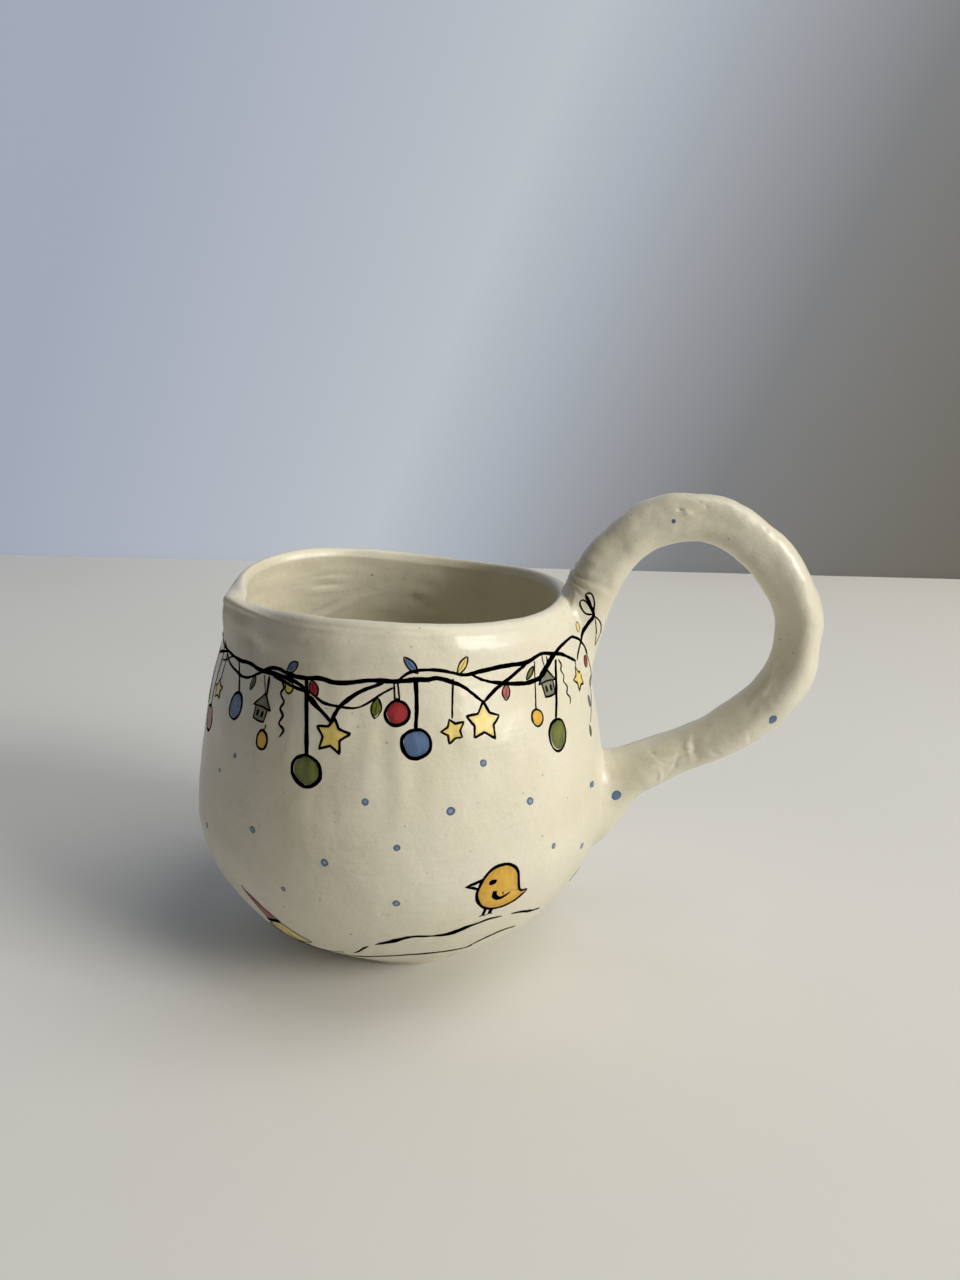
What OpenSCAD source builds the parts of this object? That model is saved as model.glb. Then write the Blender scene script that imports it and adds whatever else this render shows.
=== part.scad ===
// Hand-built stoneware mug: squat, bulbous cup with a wavy lip and a rolled-coil loop handle.
// Millimetres. +Z up, origin at the centre of the foot's resting face, +X towards the handle.
// Each clay piece is its own solid, as the potter scores and slips them together.

/* [Cup] */
// Diameter of the belly at its widest
belly_d = 95; // [88:0.5:104]
// Mean height of the middle of the lip above the table
rim_h = 84; // [80:0.5:92]
// Thickness of the cup wall
wall_t = 4.2; // [3.6:0.1:5]
// Thickness of the floor disc
base_t = 5; // [4:0.5:6]

/* [Foot] */
// Height of the foot ring
foot_h = 2; // [1.5:0.1:3]
// Width of the foot ring's resting face
foot_w = 5; // [4:0.5:7]

/* [Hand shaping] */
// How far the mouth is squashed out of round
oval = 1.4; // [0:0.1:2.5]
// How far three fingers pushed the mouth out of round
lobes = 1; // [0:0.1:1.6]
// How far the pinched corner opposite the handle stands out
corner_out = 0.6; // [0:0.1:2]
// How far the wall is pressed in beside the corner
corner_dent = 1.3; // [0:0.1:2]
// How far the pinched corner stands up
corner_up = 0.8; // [0:0.1:1.6]
// How much the lip's height waves
wave = 1; // [0:0.1:1.5]

/* [Handle] */
// Thickness of the rolled coil
coil_d = 11; // [9.5:0.1:12.5]
// How far the loop reaches out, as a factor
reach = 1; // [0.95:0.01:1.1]
// Half width of the clay smeared over the upper joint
upper_half_w = 10; // [8:0.5:12]
// Half width of the clay flared over the lower joint
lower_half_w = 11; // [9:0.5:13]

/* [Hidden] */
belly_r = belly_d / 2;
base_top = foot_h + base_t;
lip_r = wall_t / 2;
bite = 0.2;            // how deep the joint clay is pressed into the scored wall
around = 72;           // points round the cup
coil_around = 16;      // points round the coil
coil_rings = 46;       // rings along the coil
// Radius of the cup at nine equal steps of height, as a part of the belly's radius
shape = [0.462, 0.758, 0.926, 1, 0.996, 0.968, 0.926, 0.863, 0.817];
// Middle line of the coil, [x, z], from the upper joint over the top to the lower joint
line = [[44, 87], [46, 91], [49.4, 96], [54.4, 100.2], [60.6, 102.5], [67, 102.5], [73, 100.5], [78.5, 97], [83, 92.5],
    [86.5, 87], [88.6, 81], [88.8, 74], [87.3, 67.2], [84, 61.5], [79, 57], [72.8, 52.5], [66.5, 49.2], [60.5, 46.3], [56, 44.3]];
// Thickness of the coil at the same points, as a part of its nominal thickness
thick = [1.05, 0.99, 0.95, 0.96, 1, 1, 0.98, 1, 1.02, 1, 0.97, 1, 1.02, 1.02, 1.02, 1, 0.92, 0.93, 1];
colour = [0.9, 0.87, 0.77];

// Smooth curve through equally spaced values or points
function at(v, i) = i < 0 ? 2 * v[0] - v[1] : i >= len(v) ? 2 * v[len(v) - 1] - v[len(v) - 2] : v[i];
function blend4(a, b, c, d, f) = 0.5 * (2 * b + (c - a) * f + (2 * a - 5 * b + 4 * c - d) * f * f + (3 * b - a - 3 * c + d) * f * f * f);
function spline(v, t) = let (n = len(v) - 1, x = min(max(t, 0), 1) * n, i = min(floor(x), n - 1))
    blend4(at(v, i - 1), at(v, i), at(v, i + 1), at(v, i + 2), x - i);
function hermite(a, da, b, db, t) = (2 * t * t * t - 3 * t * t + 1) * a + (t * t * t - 2 * t * t + t) * da
    + (3 * t * t - 2 * t * t * t) * b + (t * t * t - t * t) * db;
function unit(v) = v / norm(v);

// The cup's outer skin. th is the angle from the handle, m the height up the wall; past the rim m goes on over the lip.
function near(th, mid, width) = let (d = ((th - mid + 540) % 360) - 180) exp(-d * d / (width * width));
function rim_z(th) = rim_h + wave * (0.3 * sin(th) - 1.2 * cos(th) - 0.7 * sin(2 * (th + 8)) + cos(3 * (th - 21))) + corner_up * near(th, 205, 16);
function pushed(th) = 0.2 * cos(th) + 0.4 * sin(th) + oval * cos(2 * (th + 16)) + lobes * cos(3 * (th - 45))
    + 0.9 * lobes * cos(4 * (th + 11)) + corner_out * near(th, 207, 13) - corner_dent * near(th, 186, 16);
function grown(s) = pow(max(0, (s - 0.35) / 0.65), 1.5);
function skin_r(th, z) = let (s = (z - foot_h) / (rim_z(th) - foot_h)) belly_r * spline(shape, s) + grown(s) * pushed(th);
function polar(th, r, z) = [r * cos(th), r * sin(th), z];
function skin(th, m, deep = 0) = let (zr = rim_z(th), a = min((m - zr) / lip_r * 180 / PI, 180))
    m <= zr ? polar(th, skin_r(th, m) - deep, m)
            : polar(th, skin_r(th, zr) - lip_r + (lip_r - deep) * cos(a), zr + (lip_r - deep) * sin(a));
function inner_r(th, z) = skin_r(th, z) - wall_t - 4 * exp(-(z - base_top) / 5);

// Closed solid from a stack of equal rings: ends capped, or joined end to end
function ring_faces(rings, n, joined) = [for (k = [0 : rings - (joined ? 1 : 2)], i = [0 : n - 1], half = [0, 1])
    let (a = k * n + i, b = k * n + (i + 1) % n, c = ((k + 1) % rings) * n + (i + 1) % n, d = ((k + 1) % rings) * n + i)
    half == 0 ? [a, c, b] : [a, d, c]];
module stack(rings, joined = false, turn = false) {
    n = len(rings[0]);
    last = len(rings) - 1;
    points = [for (k = [0 : last], p = rings[turn ? last - k : k]) p];
    ends = joined ? [] : [[for (i = [0 : n - 1]) i], [for (i = [n - 1 : -1 : 0]) last * n + i]];
    polyhedron(points, concat(ring_faces(last + 1, n, joined), ends));
}

// The low ring that the mug stands on
module foot_ring() {
    r = belly_r * shape[0] - 1;
    color(colour) rotate_extrude($fn = 96)
        polygon([[r - foot_w - 0.6, 0.4], [r - foot_w, 0], [r - 0.7, 0], [r - 0.2, 0.4], [r, foot_h], [r - foot_w - 1.2, foot_h]]);
}

// The floor disc that the wall grows from
module cup_base() {
    steps = 4;
    color(colour) rotate_extrude($fn = 96)
        polygon(concat([[0, base_top], [0, foot_h]],
            [for (i = [0 : steps]) let (z = foot_h + base_t * i / steps) [skin_r(0, z), z]]));
}

// The pinched wall, from the floor disc up the outside, over the lip and down the inside
module cup_wall() {
    up = 16;
    down = 13;
    levels = concat(
        [for (k = [0 : up]) [0, k / up]],
        [for (k = [1 : 4]) [1, k / 5]],
        [for (k = [0 : down]) [2, 1 - pow(k / down, 0.8)]]);
    color(colour) stack([for (l = levels) [for (i = [0 : around - 1])
        let (th = i * 360 / around, zr = rim_z(th), z = base_top + l[1] * (zr - base_top))
        l[0] == 0 ? polar(th, skin_r(th, z), z) :
        l[0] == 1 ? skin(th, zr + l[1] * PI * lip_r) :
        polar(th, inner_r(th, z), z)]], joined = true);
}

// The coil's middle line, direction and rings
function mid(u) = let (p = spline(line, u)) [44 + (p[0] - 44) * reach, 0, p[1]];
function along(u) = unit(mid(u + 0.004) - mid(u - 0.004));
function heading(u) = u <= 0.004 ? unit(mid(0.008) - mid(0)) : u >= 0.996 ? unit(mid(1) - mid(0.992)) : along(u);
function coil_ring(u) = let (t = heading(u), n = [-t[2], 0, t[0]], a = spline(thick, u) * coil_d / 2)
    [for (i = [0 : coil_around - 1]) let (f = i * 360 / coil_around) mid(u) + a * (cos(f) * n + sin(f) * [0, 1, 0])];

// The rolled coil between its two joints
module handle_coil() {
    color(colour) stack([for (k = [0 : coil_rings - 1]) coil_ring(k / (coil_rings - 1))], turn = true);
}

// A point of the patch that a joint covers on the wall: f is the way round, part goes from 0 in the middle to 1 at the edge
function patch(m_mid, m_half, half_w, f, part) = let (m = m_mid + part * m_half * cos(f), r = skin_r(0, min(m, rim_z(0))))
    skin(part * half_w * sin(f) / r * 180 / PI, m, bite);

// Clay spread from the patch on the wall up to the end of the coil
module joint_clay(m_mid, m_half, half_w, u, dir, pull_wall, pull_coil, puff) {
    ends = coil_ring(u);
    t = dir * heading(u);
    steps = 9;
    inside = [for (part = [0.05, 0.35, 0.7]) [for (i = [0 : coil_around - 1]) patch(m_mid, m_half, half_w, i * 360 / coil_around, part)]];
    spread = [for (k = [0 : steps]) [for (i = [0 : coil_around - 1])
        let (f = i * 360 / coil_around, a = patch(m_mid, m_half, half_w, f, 1), b = ends[i],
             inward = unit(unit(patch(m_mid, m_half, half_w, f, 0.9) - a) + puff * max(0, cos(f)) * [1, 0, -0.3]), far = norm(b - a))
        k == steps ? b : hermite(a, inward * far * pull_wall, b, t * far * pull_coil, k / steps)]];
    stack(concat(inside, spread), turn = dir > 0);
}

// Clay smeared from the lip and the wall over the upper end of the coil
module upper_joint_clay() { color(colour) joint_clay(73.5, 12.7, upper_half_w, 0, 1, 0.5, 0.6, 0); }

// Clay flared down the belly from the lower end of the coil
module lower_joint_clay() { color(colour) joint_clay(36, -12.8, lower_half_w, 1, -1, 1.1, 0.8, 1); }

foot_ring();
cup_base();
cup_wall();
handle_coil();
upper_joint_clay();
lower_joint_clay();
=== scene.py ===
import bpy
import math
import numpy as np
from mathutils import Matrix, Vector
from mathutils.bvhtree import BVHTree


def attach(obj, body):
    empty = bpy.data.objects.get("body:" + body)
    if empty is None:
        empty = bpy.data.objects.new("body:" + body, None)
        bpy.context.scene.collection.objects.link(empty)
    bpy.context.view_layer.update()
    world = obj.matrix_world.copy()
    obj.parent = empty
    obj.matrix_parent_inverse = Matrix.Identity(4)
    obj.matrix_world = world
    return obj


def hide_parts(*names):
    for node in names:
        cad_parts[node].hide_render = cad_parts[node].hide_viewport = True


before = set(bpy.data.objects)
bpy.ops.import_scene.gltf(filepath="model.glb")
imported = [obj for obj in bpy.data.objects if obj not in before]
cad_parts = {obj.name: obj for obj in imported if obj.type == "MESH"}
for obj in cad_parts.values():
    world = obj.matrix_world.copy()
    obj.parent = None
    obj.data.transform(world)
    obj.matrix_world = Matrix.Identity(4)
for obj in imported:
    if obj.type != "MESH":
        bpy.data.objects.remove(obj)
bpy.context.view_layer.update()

# ---------------------------------------------------------------- the cup's own shape, in mm, as the CAD has it
BELLY_R, RIM_H, WALL, LIP, FOOT_H, BASE_TOP = 47.5, 84.0, 4.2, 2.1, 2.0, 7.0
SHAPE = np.array([0.462, 0.758, 0.926, 1, 0.996, 0.968, 0.926, 0.863, 0.817])
LINE = np.array([[44, 87], [46, 91], [49.4, 96], [54.4, 100.2], [60.6, 102.5], [67, 102.5], [73, 100.5], [78.5, 97], [83, 92.5],
                 [86.5, 87], [88.6, 81], [88.8, 74], [87.3, 67.2], [84, 61.5], [79, 57], [72.8, 52.5], [66.5, 49.2], [60.5, 46.3], [56, 44.3]], float)
THICK = np.array([1.05, 0.99, 0.95, 0.96, 1, 1, 0.98, 1, 1.02, 1, 0.97, 1, 1.02, 1.02, 1.02, 1, 0.92, 0.93, 1])
COIL_D = 11.0


def spline(v, t):
    v = np.asarray(v, float)
    n = len(v)
    ext = np.concatenate([[2 * v[0] - v[1]], v, [2 * v[-1] - v[-2]]])
    x = np.clip(t, 0, 1) * (n - 1)
    i = np.minimum(np.floor(x).astype(int), n - 2)
    f = x - i
    if v.ndim > 1:
        f = f[..., None]
    a, b, c, d = ext[i], ext[i + 1], ext[i + 2], ext[i + 3]
    return 0.5 * (2 * b + (c - a) * f + (2 * a - 5 * b + 4 * c - d) * f * f + (3 * b - a - 3 * c + d) * f ** 3)


def hermite(a, da, b, db, t):
    return (2 * t ** 3 - 3 * t ** 2 + 1) * a + (t ** 3 - 2 * t ** 2 + t) * da + (3 * t ** 2 - 2 * t ** 3) * b + (t ** 3 - t ** 2) * db


def unit(v):
    return v / np.maximum(np.linalg.norm(v, axis=-1, keepdims=True), 1e-12)


def near(th, mid, w):
    d = (th - mid + 540) % 360 - 180
    return np.exp(-d * d / (w * w))


def cosd(a):
    return np.cos(np.radians(a))


def sind(a):
    return np.sin(np.radians(a))


def smooth(x):
    x = np.clip(x, 0, 1)
    return x * x * (3 - 2 * x)


def rim_z(th):
    return RIM_H + 0.3 * sind(th) - 1.2 * cosd(th) - 0.7 * sind(2 * (th + 8)) + cosd(3 * (th - 21)) + 0.8 * near(th, 205, 16)


def pushed(th):
    return 0.2 * cosd(th) + 0.4 * sind(th) + 1.4 * cosd(2 * (th + 16)) + cosd(3 * (th - 45)) + 0.9 * cosd(4 * (th + 11)) \
        + 0.6 * near(th, 207, 13) - 1.3 * near(th, 186, 16)


def skin_r(th, z):
    s = (z - FOOT_H) / (rim_z(th) - FOOT_H)
    return BELLY_R * spline(SHAPE, s) + np.maximum(0, (s - 0.35) / 0.65) ** 1.5 * pushed(th)


def skin(th, m):
    """The CAD's outer skin; past the rim m goes on over the lip."""
    th, m = np.broadcast_arrays(np.asarray(th, float), np.asarray(m, float))
    zr = rim_z(th)
    a = np.clip((m - zr) / LIP, 0, math.pi)
    r = np.where(m <= zr, skin_r(th, np.minimum(m, zr)), skin_r(th, zr) - LIP + LIP * np.cos(a))
    z = np.where(m <= zr, m, zr + LIP * np.sin(a))
    return np.stack([r * cosd(th), r * sind(th), z], -1)


def inner_r(th, z):
    return skin_r(th, z) - WALL - 4 * np.exp(-(z - BASE_TOP) / 5)


# ---------------------------------------------------------------- seeded lumps, as hands leave them in clay
_T = np.random.default_rng(41).uniform(-1, 1, (32, 32, 32))


def _turn(seed):
    q, _ = np.linalg.qr(np.random.default_rng(seed).normal(size=(3, 3)))
    return q


_R1, _R2 = _turn(3), _turn(8)


def _vn(q):
    i = np.floor(q).astype(int)
    f = q - i
    f = f ** 3 * (f * (f * 6 - 15) + 10)
    i &= 31
    j = (i + 1) & 31
    out = 0
    for cx, wx in ((i[..., 0], 1 - f[..., 0]), (j[..., 0], f[..., 0])):
        for cy, wy in ((i[..., 1], 1 - f[..., 1]), (j[..., 1], f[..., 1])):
            for cz, wz in ((i[..., 2], 1 - f[..., 2]), (j[..., 2], f[..., 2])):
                out = out + _T[cx, cy, cz] * wx * wy * wz
    return out


def lumps(P, size, seed):
    """Smooth lumps of that size in mm, about -1 to 1."""
    return 0.75 * (_vn(P @ _R1 / size + seed * 3.17) + _vn(P @ _R2 / (size * 0.81) + seed * 5.71 + 9.3))


def blob(th, m, t0, m0, wt, wm, lean=0.0):
    """A soft bump, 1 at (t0, m0), with half widths in degrees and mm."""
    d = ((th - t0 + 540) % 360 - 180) / wt
    e = (m - m0 - lean * ((th - t0 + 540) % 360 - 180)) / wm
    return np.exp(-d * d - e * e)


def relief_out(th, m, P):
    d = rim_z(th) - m
    h = 0.27 * lumps(P, 18, 1) + 0.13 * lumps(P, 8, 2) + 0.045 * lumps(P, 3.4, 3)
    roll = 0.10 + 0.26 * near(th, 236, 30) + 0.10 * near(th, 330, 30) + 0.12 * near(th, 90, 50)
    h = h + roll * (np.exp(-(np.maximum(d - 2.2, 0) / 2.6) ** 2) - 0.75 * np.exp(-((d - 8.0 - 1.2 * sind(2 * th + 40)) / 3.0) ** 2))
    h = h + 0.20 * lumps(P, 9, 5) * np.exp(-(d / 4.0) ** 2)
    h = h - 0.75 * blob(th, m, 226, 79.4, 8, 2.2, -0.12) + 0.34 * blob(th, m, 215, 82.0, 8, 2.0, -0.12)
    h = h - 0.16 * blob(th, m, 277, 64, 2.2, 11) + 0.14 * blob(th, m, 281, 62, 2.0, 12) - 0.13 * blob(th, m, 285.5, 60, 2.2, 12) + 0.1 * blob(th, m, 273, 60, 2.0, 9)
    h = h - 0.1 * blob(th, m, 254, 79.5, 0.8, 2.2) - 0.14 * blob(th, m, 262, 79.4, 8, 0.5, 0.05) + 0.12 * blob(th, m, 262, 80.5, 8, 0.8, 0.05)
    h = h + 0.10 * lumps(np.stack([cosd(th) * 45 / 3.2, sind(th) * 45 / 3.2, m / 16], -1), 1.0, 6) * smooth((m - 42) / 20) * smooth((80 - m) / 10)
    h = h - 0.28 * blob(th, m, 276.1, 29.8, 0.55, 0.42) - 0.2 * blob(th, m, 306.4, 80.3, 0.5, 0.35) - 0.24 * blob(th, m, 218.4, 31.8, 0.6, 0.45)
    h = h - 0.2 * blob(th, m, 96, 44, 0.6, 0.45) - 0.22 * blob(th, m, 151, 61, 0.55, 0.4)
    h = h - 0.1 * blob(th, m, 240, 78, 0.7, 0.3) - 0.08 * blob(th, m, 251.5, 78.8, 0.6, 1.3)
    return h * smooth((m - 7.0) / 7.0)


def relief_in(th, z, P):
    """Height towards the cavity."""
    rr = 42.0
    band = np.stack([cosd(th) * rr / 11, sind(th) * rr / 11, z / 3.2], -1)
    h = 0.36 * lumps(P, 15, 21) + 0.17 * lumps(band, 1.0, 22) + 0.06 * lumps(P, 3.6, 23)
    fade = smooth((z - 10) / 8)
    for t0, z0, wt, wz, amp, lean in (
            (132, 81.8, 5.5, 0.55, -0.5, -0.02), (133.5, 79.4, 5.2, 0.6, -0.55, 0.03), (132.5, 80.6, 6, 0.6, 0.3, 0.0), (133, 77.9, 6, 0.9, 0.28, 0.02),
            (138.4, 76.2, 0.6, 0.5, -0.45, 0), (131, 72.8, 10, 0.5, -0.4, -0.26), (130, 71.6, 10, 0.8, 0.28, -0.26), (115, 76.8, 8, 0.5, -0.28, -0.08),
            (95.6, 73.4, 2.6, 1.5, -0.5, 0), (89.4, 71.1, 3, 1.4, -0.45, 0), (99.1, 71, 0.7, 0.55, -0.4, 0), (92.6, 75.8, 4, 1.1, 0.25, 0),
            (60, 70, 9, 1.0, -0.3, 0.1), (45, 62, 11, 1.3, 0.3, -0.08), (200, 60, 12, 1.2, -0.3, 0.09), (250, 66, 14, 1.1, -0.28, 0.04),
            (310, 58, 12, 1.5, 0.3, -0.06), (340, 70, 10, 1.0, -0.3, 0.05), (170, 50, 12, 1.6, -0.35, 0.07), (285, 44, 13, 1.4, 0.3, 0.06)):
        h = h + amp * blob(th, z, t0, z0, wt, wz, lean)
    return h * (0.25 + 0.75 * fade)


def corner_push(th, d):
    """How far the pinched corner, with the fold that runs down from it, stands out; d is the depth below the rim."""
    c = np.abs((th - 206 + 540) % 360 - 180)
    d = np.maximum(d, 0)
    return 1.3 * np.exp(-c / 4.0) * np.exp(-(d / 6.5) ** 2) - 0.36 * near(th, 221, 8) * np.exp(-((d - 1.0) / 5.0) ** 2) - 0.3 * near(th, 193, 7) * np.exp(-((d - 1.0) / 5.0) ** 2)


def lip_shape(th, m, P):
    """The lip's outer shoulder falls away softly and its inner edge is crisp; at the pinched corner it is the other way round."""
    d = rim_z(th) - m
    a = -d / LIP
    shoulder = np.exp(-((a - 0.70) / np.where(a < 0.70, 1.15, 0.62)) ** 2)
    wc = near(th, 209, 21)
    h = (1 - wc) * (0.42 * np.exp(-((a - 2.05) / 0.42) ** 2) - (0.78 + 0.14 * lumps(P, 6, 7)) * shoulder)
    h = h + wc * (0.72 * np.exp(-((a - 0.62) / 0.32) ** 2) - 0.55 * np.exp(-((a - 1.75) / 0.62) ** 2))
    return h + corner_push(th, d) * np.cos(np.clip(a, 0, math.pi))


def relief(th, m, P):
    """All of the outside and the lip, over to the lip's inner edge."""
    zr = rim_z(th)
    w = smooth((m - zr) / (math.pi * LIP))
    return (1 - w) * relief_out(th, m, P) + w * relief_in(th, zr, P) + lip_shape(th, m, P) * smooth((m - 20) / 20)


def fd_normal(f, th, m, e=0.05):
    du = f(th + e, m) - f(th - e, m)
    dv = f(th, m + e) - f(th, m - e)
    return unit(np.cross(du, dv))


def wall_point(th, m, lift=0.0):
    """A point of the glazed outside, lifted along the surface's normal."""
    th, m = np.broadcast_arrays(np.asarray(th, float), np.asarray(m, float))
    P = skin(th, m)
    N = fd_normal(skin, th, m, 0.1)
    return P + N * (relief(th, m, P) + lift)[..., None]


def wall_both(th, m, lift=0.0):
    th, m = np.broadcast_arrays(np.asarray(th, float), np.asarray(m, float))
    P = wall_point(th, m)
    N = fd_normal(wall_point, th, m, 0.12)
    return P + N * (np.asarray(lift) + 0 * th)[..., None], N


# ---------------------------------------------------------------- mesh helpers
def make(name, verts, quads, tris=(), normals=None, attrs=None):
    me = bpy.data.meshes.new(name)
    me.from_pydata([tuple(v) for v in (np.asarray(verts) * 0.001)], [], [tuple(q) for q in quads] + [tuple(t) for t in tris])
    me.polygons.foreach_set("use_smooth", np.ones(len(me.polygons), bool))
    for key, values in (attrs or {}).items():
        a = me.attributes.new(key, "FLOAT", "POINT")
        a.data.foreach_set("value", np.asarray(values, np.float32))
    me.validate()
    if normals is not None:
        me.normals_split_custom_set_from_vertices([tuple(n) for n in normals])
    me.update()
    o = bpy.data.objects.new(name, me)
    bpy.context.scene.collection.objects.link(o)
    return o


def grid_quads(rows, cols, base=0, join_rows=False):
    k = np.arange(rows if join_rows else rows - 1)[:, None]
    i = np.arange(cols)[None, :]
    j = (i + 1) % cols
    k2 = (k + 1) % rows
    q = np.stack([k * cols + i, k * cols + j, k2 * cols + j, k2 * cols + i], -1).reshape(-1, 4)
    return q + base


def grid_normals(P):
    du = np.roll(P, -1, 1) - np.roll(P, 1, 1)
    dv = np.gradient(P, axis=0)
    return unit(np.cross(du, dv))


def closed_grid(name, P, N, tip_start=True, tip_end=True):
    """A tube of rows, closed with a centre point at each end."""
    rows, cols = P.shape[:2]
    verts = P.reshape(-1, 3)
    norms = N.reshape(-1, 3)
    tris = []
    i = np.arange(cols)
    j = (i + 1) % cols
    if tip_start:
        c = len(verts)
        verts = np.vstack([verts, P[0].mean(0)])
        norms = np.vstack([norms, unit(P[0].mean(0) - P[min(1, rows - 1)].mean(0))])
        tris += [(c, b, a) for a, b in zip(i, j)]
    if tip_end:
        c = len(verts)
        verts = np.vstack([verts, P[-1].mean(0)])
        norms = np.vstack([norms, unit(P[-1].mean(0) - P[max(0, rows - 2)].mean(0))])
        o = (rows - 1) * cols
        tris += [(c, o + a, o + b) for a, b in zip(i, j)]
    return make(name, verts, grid_quads(rows, cols), tris, norms)


# ---------------------------------------------------------------- the cup
COLS = 360
TH = np.arange(COLS) * 360.0 / COLS
rows_p, rows_h = [], []


def add_row(P, h=None):
    rows_p.append(P)
    rows_h.append(np.zeros(COLS) if h is None else h)


def ring(r, z):
    r = np.broadcast_to(np.asarray(r, float), TH.shape)
    z = np.broadcast_to(np.asarray(z, float), TH.shape)
    return np.stack([r * cosd(TH), r * sind(TH), z], -1)


# outside, from under the turned-in edge up to the floor disc's top
edge_r = skin_r(TH, 2.6)
for a in np.linspace(0, 80, 6):
    add_row(ring(edge_r - 0.6 + 0.6 * sind(a), 2.6 - 0.6 * cosd(a)))
for z in np.linspace(2.75, 7.0, 9):
    add_row(ring(skin_r(TH, z), z))
ROW_SPLIT_OUT = len(rows_p) - 1
UP = 150
for k in range(1, UP + 1):
    m = BASE_TOP + (rim_z(TH) - BASE_TOP) * k / UP
    P = skin(TH, m)
    add_row(P, relief(TH, m, P))
ARC = 20
for k in range(1, ARC):
    a = math.pi * k / ARC
    m = rim_z(TH) + LIP * a
    P = skin(TH, m)
    add_row(P, relief(TH, m, P))
DOWN = 84
Z_FILLET = 13.0
for k in range(0, DOWN + 1):
    z = rim_z(TH) + (Z_FILLET - rim_z(TH)) * k / DOWN
    P = ring(inner_r(TH, z), z)
    add_row(P, relief_in(TH, z, P) - corner_push(TH, rim_z(TH) - z))
# a round fillet down to the dished floor
r0 = inner_r(TH, np.full(COLS, Z_FILLET))
slope = (inner_r(TH, np.full(COLS, Z_FILLET + 0.5)) - inner_r(TH, np.full(COLS, Z_FILLET - 0.5)))
FIL = 22
first_floor = None
for k in range(1, FIL + 1):
    t = k / FIL
    far = r0 - 10.0
    r = hermite(r0, -slope * 14.0, 10.0 + 0 * r0, -far * 1.0, t)
    z = hermite(Z_FILLET, -14.0, 6.2, -0.35, t)
    P = ring(r, z)
    w = 1 - smooth(t * 0.8)
    add_row(P, relief_in(TH, np.maximum(z, 8) + 0 * TH, P) * w + 0.12 * lumps(P, 9, 31) * (1 - w))
    if first_floor is None and z <= 7.0:
        first_floor = len(rows_p) - 1
if first_floor is None:
    first_floor = len(rows_p) - 1
for r in (8.5, 7.0, 5.5, 4.0, 2.6, 1.3, 0.5):
    P = ring(r, 6.2 - 0.12 * (1 - (r / 10.0) ** 2))
    add_row(P, 0.12 * lumps(P, 9, 31))
base = np.array(rows_p)
N0 = grid_normals(base)
height = np.array(rows_h)
cup = base + N0 * height[..., None]
cupN = grid_normals(cup)
# the lowest rows keep the level edge exactly
so, si = ROW_SPLIT_OUT, first_floor
wallP, wallN = cup[so:si + 1], cupN[so:si + 1]
rows = wallP.shape[0]
cup_wall = make("cup_wall_glazed", wallP.reshape(-1, 3), grid_quads(rows, COLS, join_rows=True), (), wallN.reshape(-1, 3))

# floor disc: its underside, its side and the dished floor inside the cup
under = []
underN = []
for r in (0.5, 2.5, 5, 8, 11, 14, 16.5, 19, 20.6):
    P = ring(r, 2.0 + 0.05 * np.cos(r))
    P[..., 2] = 2.0 + 0.06 * (1 + lumps(P, 6, 51)) * smooth((13.5 - r) / 3) * 1.0
    under.append(P)
under = np.array(under)
allP = np.concatenate([under, cup[:so + 1], cup[si:]])
uN = np.zeros_like(under)
uN[..., 2] = -1
allN = np.concatenate([uN, cupN[:so + 1], cupN[si:]])
cup_base = closed_grid("cup_base_glazed", allP, allN)

# foot ring, with its edges rubbed round
fr = BELLY_R * SHAPE[0] - 1
prof = []


def corner(cx, cz, a0, a1, rad, n=7):
    for a in np.linspace(a0, a1, n):
        prof.append((cx + rad * cosd(a), cz + rad * sind(a)))


FCOLS = 288
corner(fr - 4.9, 0.55, 180, 270, 0.55)
for r in np.linspace(fr - 4.4, fr - 1.2, 9):
    prof.append((r, 0.0))
corner(fr - 0.75, 0.6, 270, 360, 0.6)
for z in (0.9, 1.2, 1.6, 2.05):
    prof.append((fr - 0.15 + 0.1 * (z - 0.6), z))
prof.append((fr - 3, 2.1))
prof.append((fr - 6.0, 2.05))
for z in (1.6, 1.1):
    prof.append((fr - 5.45 - 0.3 * (z - 0.6), z))
prof = np.array(prof)
fth = np.arange(FCOLS) * 360.0 / FCOLS
FP = np.stack([prof[:, 0][:, None] * cosd(fth), prof[:, 0][:, None] * sind(fth), prof[:, 1][:, None] + 0 * fth], -1)
FN = np.roll(FP, -1, 1) - np.roll(FP, 1, 1)
FV = np.roll(FP, -1, 0) - np.roll(FP, 1, 0)
FNN = unit(np.cross(FN, FV))
flat = (FP[..., 2] < 0.02)
h = (0.06 * lumps(FP, 4, 61) + 0.05 * lumps(FP, 1.6, 62)) * np.where(FP[..., 2] > 1.9, 0.0, 1.0)
h = np.where(flat, -np.abs(h), h)
FP = FP + FNN * h[..., None]
FP[..., 2] = np.maximum(FP[..., 2], 0.0)
foot = make("foot_ring_bare", FP.reshape(-1, 3), grid_quads(len(prof), FCOLS, join_rows=True), (),
            unit(np.cross(np.roll(FP, -1, 1) - np.roll(FP, 1, 1), np.roll(FP, -1, 0) - np.roll(FP, 1, 0))).reshape(-1, 3))

# ---------------------------------------------------------------- the handle: one long grid, cut into its three pieces
AROUND = 96
F = np.arange(AROUND) * 360.0 / AROUND


def mid(u):
    p = spline(LINE, u)
    return np.stack([p[..., 0], 0 * p[..., 0], p[..., 1]], -1)


def heading(u):
    u = np.asarray(u, float)
    lo = np.where(u <= 0.004, 0.0, np.where(u >= 0.996, 0.992, u - 0.004))
    hi = np.where(u <= 0.004, 0.008, np.where(u >= 0.996, 1.0, u + 0.004))
    return unit(mid(hi) - mid(lo))


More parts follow.
